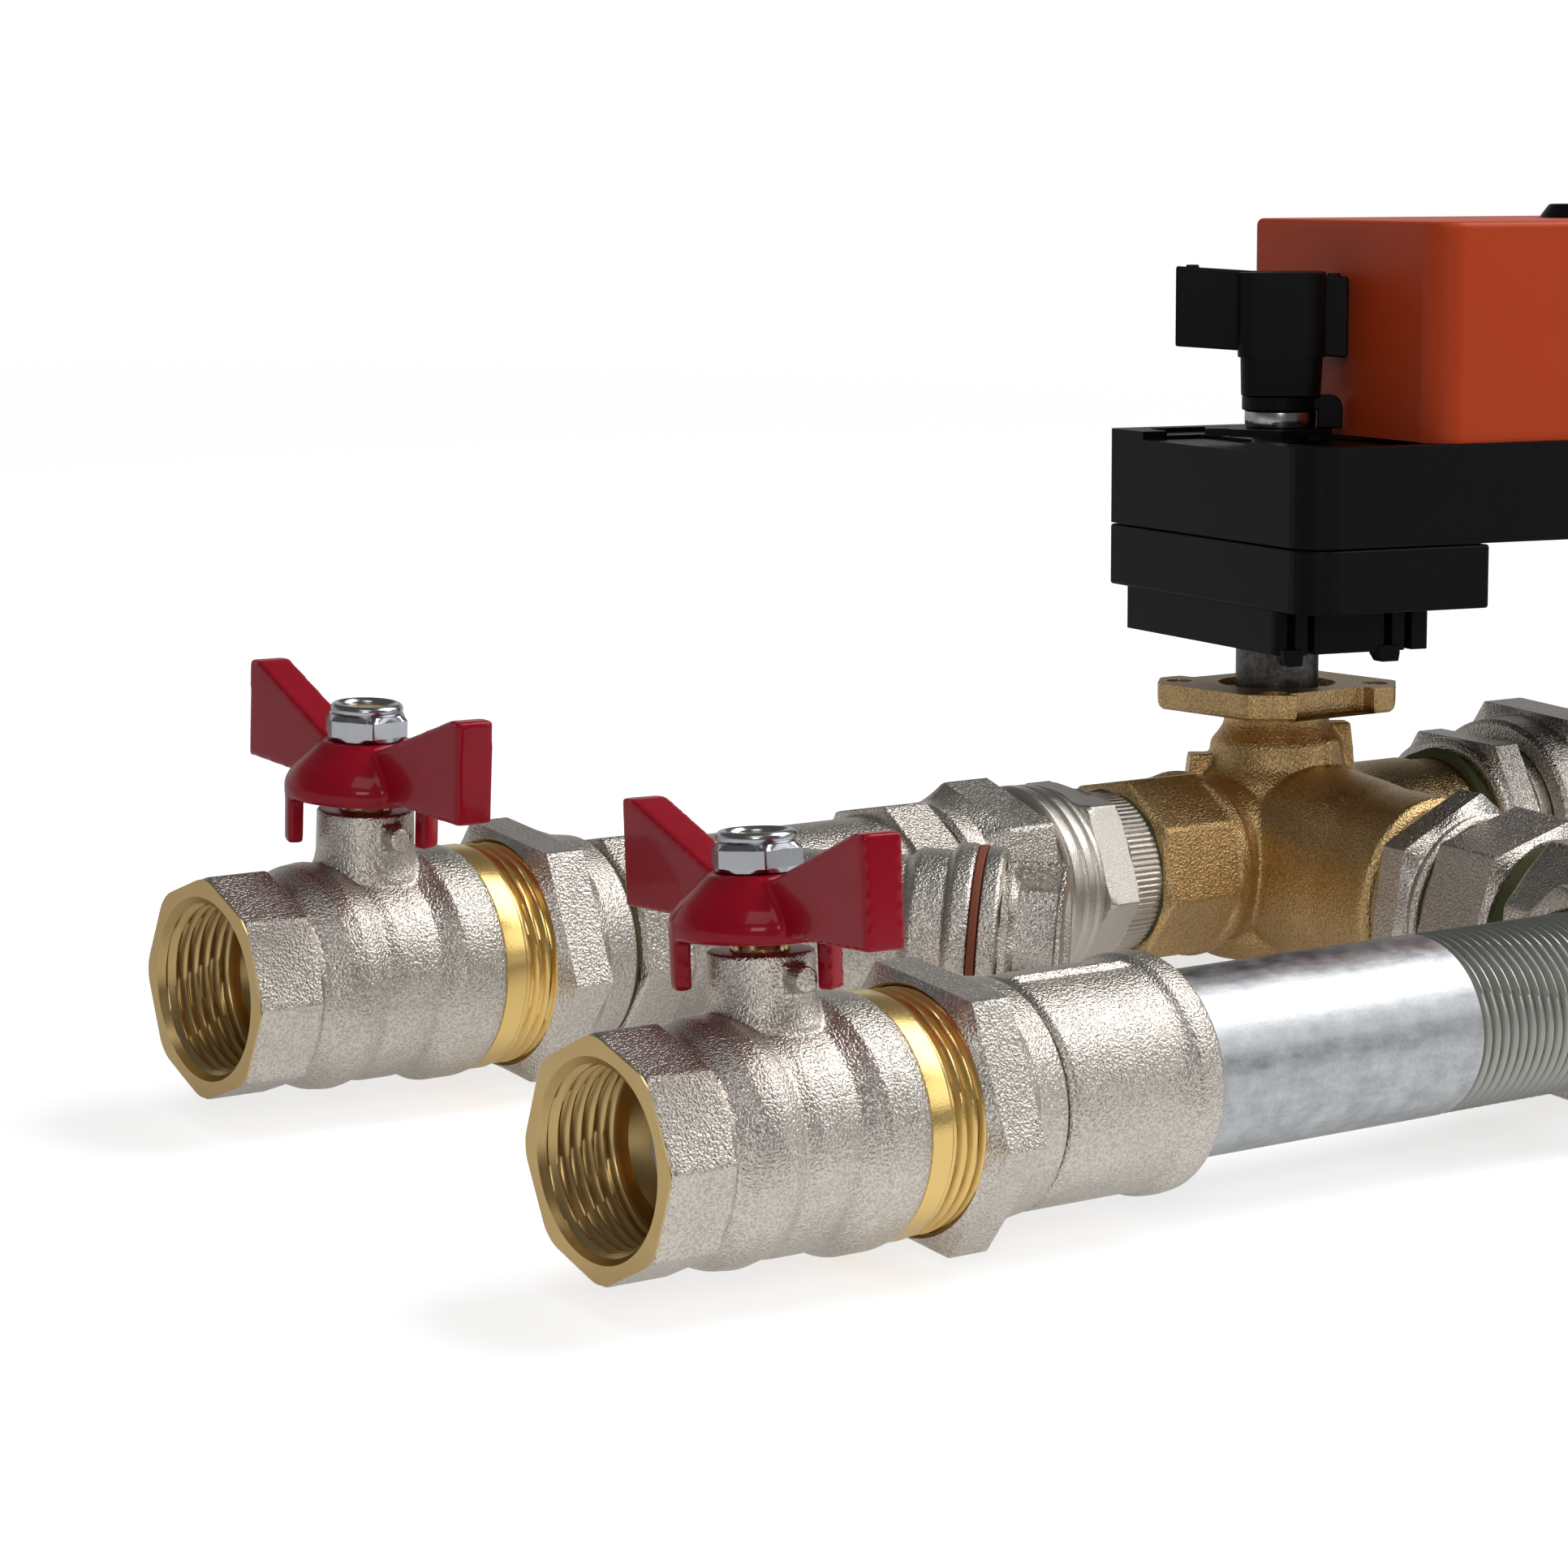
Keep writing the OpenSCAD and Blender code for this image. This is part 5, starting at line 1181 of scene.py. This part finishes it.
def release_key():
    """Round button that frees the gears."""
    key = upright(skin(softened([
        (133.4, 0.4), (133.4, 8.9), (136.2, 8.9), (138.9, 6.9), (138.9, 5.6), (138.5, 0.4),
    ], 0.5), around=96))
    piece("release_key", "release_button", BLACK, actuator @ Matrix.Translation((button_x, 0, 0)),
          [key], ["release_button"])


actuator_base()
actuator_cover()
actuator_adaptor()
hand_knob()
spindle_clamp()
release_key()


# Everything that keeps its CAD shape

PLAIN = {
    NICKEL: "strainer_inlet_tail strainer_outlet_tail",
    BRASS: "return_stem supply_stem",
    POLISHED: "return_ball supply_ball mixer_ball pump_shaft",
    STEEL: "strainer_screen mixer_stem actuator_motor actuator_pinion",
    ZINC: "pump_screws",
    WHITE_PLASTIC: (
        "return_ball_seats supply_ball_seats return_stem_packing supply_stem_packing mixer_seats "
        "pump_impeller actuator_idler_gear actuator_drive_gear"
    ),
    RUBBER: "mixer_stem_seals union_gaskets",
    IRON: "pump_casing pump_motor_housing",
    BLACK: "actuator_indicator pump_control_box",
}
for finish, nodes in PLAIN.items():
    for node in nodes.split():
        dress(node, finish)


# Floor, light and camera

def world_light():
    """White to the camera. To the object: dark overhead and in front, bright low down behind."""
    world = bpy.data.worlds.new("studio")
    bpy.context.scene.world = world
    world.use_nodes = True
    sky = Nodes(world.node_tree)
    background = next(n for n in sky.tree.nodes if n.type == "BACKGROUND")
    way = sky.node("ShaderNodeTexCoord", output="Generated")
    height = sky.node("ShaderNodeSeparateXYZ", {}, {0: way}, "Z")
    behind = sky.node(
        "ShaderNodeVectorMath", {"operation": "DOT_PRODUCT"}, {0: way, 1: (0.6, 0.8, 0.0)}, "Value"
    )
    backdrop = (1.0 - height.between(0.16, 0.42)) * behind.between(-0.1, 0.5)
    glow_behind, dark_room = 0.45, 0.12
    shade = backdrop * glow_behind + dark_room
    seen = sky.node("ShaderNodeLightPath", output="Is Camera Ray")
    sky.feed(background.inputs["Color"], sky.mix(seen, sky.mix(shade, (0, 0, 0), (1, 1, 1)), (1, 1, 1)))


def floor():
    """Paper that keeps the shadow near the object and turns to plain white further off; in the metal's
    reflections it glows, brighter on the near side, as a painted reflection.
    """
    bpy.ops.mesh.primitive_plane_add(size=12, location=(0.3, 0.1, cad_box[0][2]))
    ground = bpy.context.object
    ground.name = "floor"
    finish = Finish("floor_paper", roughness=0.8)
    finish.set("Base Color", finish.mix(finish.noise(30), (0.80, 0.80, 0.80), (0.82, 0.82, 0.82)))
    away = finish.node("ShaderNodeVectorMath", {"operation": "LENGTH"}, {0: finish.place}, "Value")
    seen = finish.node("ShaderNodeLightPath", output="Is Camera Ray")
    mirrored = finish.node("ShaderNodeLightPath", output="Is Glossy Ray")
    # Painted reflection: the floor glows in glossy rays only, brighter on the near side, to light the
    # undersides of the metal
    reflection_glow_side = finish.node(
        "ShaderNodeVectorMath", {"operation": "DOT_PRODUCT"}, {0: finish.place, 1: (-0.45, -0.9, 0)},
        "Value",
    ).between(-0.15, 0.35)
    mirrored = mirrored * (0.12 + 0.42 * reflection_glow_side)
    finish.set("Emission Color", finish.mix((seen + mirrored).clamped(), (0, 0, 0), (1, 1, 1)))
    finish.set("Emission Strength", 0.68)
    plain = finish.tree.nodes.new("ShaderNodeEmission")
    finish.feed(plain.inputs["Color"], finish.mix(
        (seen + mirrored * 1.6).clamped(), (0.3, 0.3, 0.3), (1, 1, 1)
    ))
    blend = finish.tree.nodes.new("ShaderNodeMixShader")
    finish.feed(blend.inputs[0], away.between(0.45, 1.3))
    finish.tree.links.new(finish.shader.outputs[0], blend.inputs[1])
    finish.tree.links.new(plain.outputs[0], blend.inputs[2])
    out = next(n for n in finish.tree.nodes if n.type == "OUTPUT_MATERIAL")
    finish.tree.links.new(blend.outputs[0], out.inputs["Surface"])
    ground.data.materials.append(finish.material)


def lamp(name, at, towards, size, power):
    """Softbox of a width and height in metres and a power in watts."""
    light = bpy.data.lights.new(name, "AREA")
    light.shape = "RECTANGLE"
    light.size, light.size_y = size
    light.energy = power
    made = bpy.data.objects.new(name, light)
    made.location = at
    made.rotation_euler = (Vector(towards) - Vector(at)).to_track_quat("-Z", "Y").to_euler()
    bpy.context.scene.collection.objects.link(made)


def camera():
    """The photo's viewpoint."""
    lens = bpy.data.cameras.new("photo")
    lens.sensor_width = 36
    lens.lens = 102.48
    lens.clip_start = 0.01
    lens.clip_end = 50
    made = bpy.data.objects.new("photo", lens)
    right = Vector((0.7969, -0.6026, 0.0436)).normalized()
    forward = Vector((0.5981, 0.7766, -0.1978)).normalized()
    up = right.cross(forward).normalized()
    right = forward.cross(up).normalized()
    turn = Matrix((right, up, -forward)).transposed()
    made.matrix_world = Matrix.Translation((-0.397226, -0.560579, 0.201270)) @ turn.to_4x4()
    bpy.context.scene.collection.objects.link(made)
    bpy.context.scene.camera = made


world_light()
floor()
middle = (0.2, 0.06, 0.02)
lamp("key_box", (0.85, -0.19, 0.98), middle, (0.85, 0.85), 9.5)
lamp("side_box", (0.95, -0.86, 0.52), middle, (0.5, 0.5), 1.3)
lamp("front_box", (-0.9, -1.1, 0.7), middle, (0.45, 0.45), 3.5)
lamp("top_box", (-0.35, -0.36, 1.12), middle, (0.5, 0.5), 1.4)
camera()
bpy.context.scene.view_settings.view_transform = "Standard"
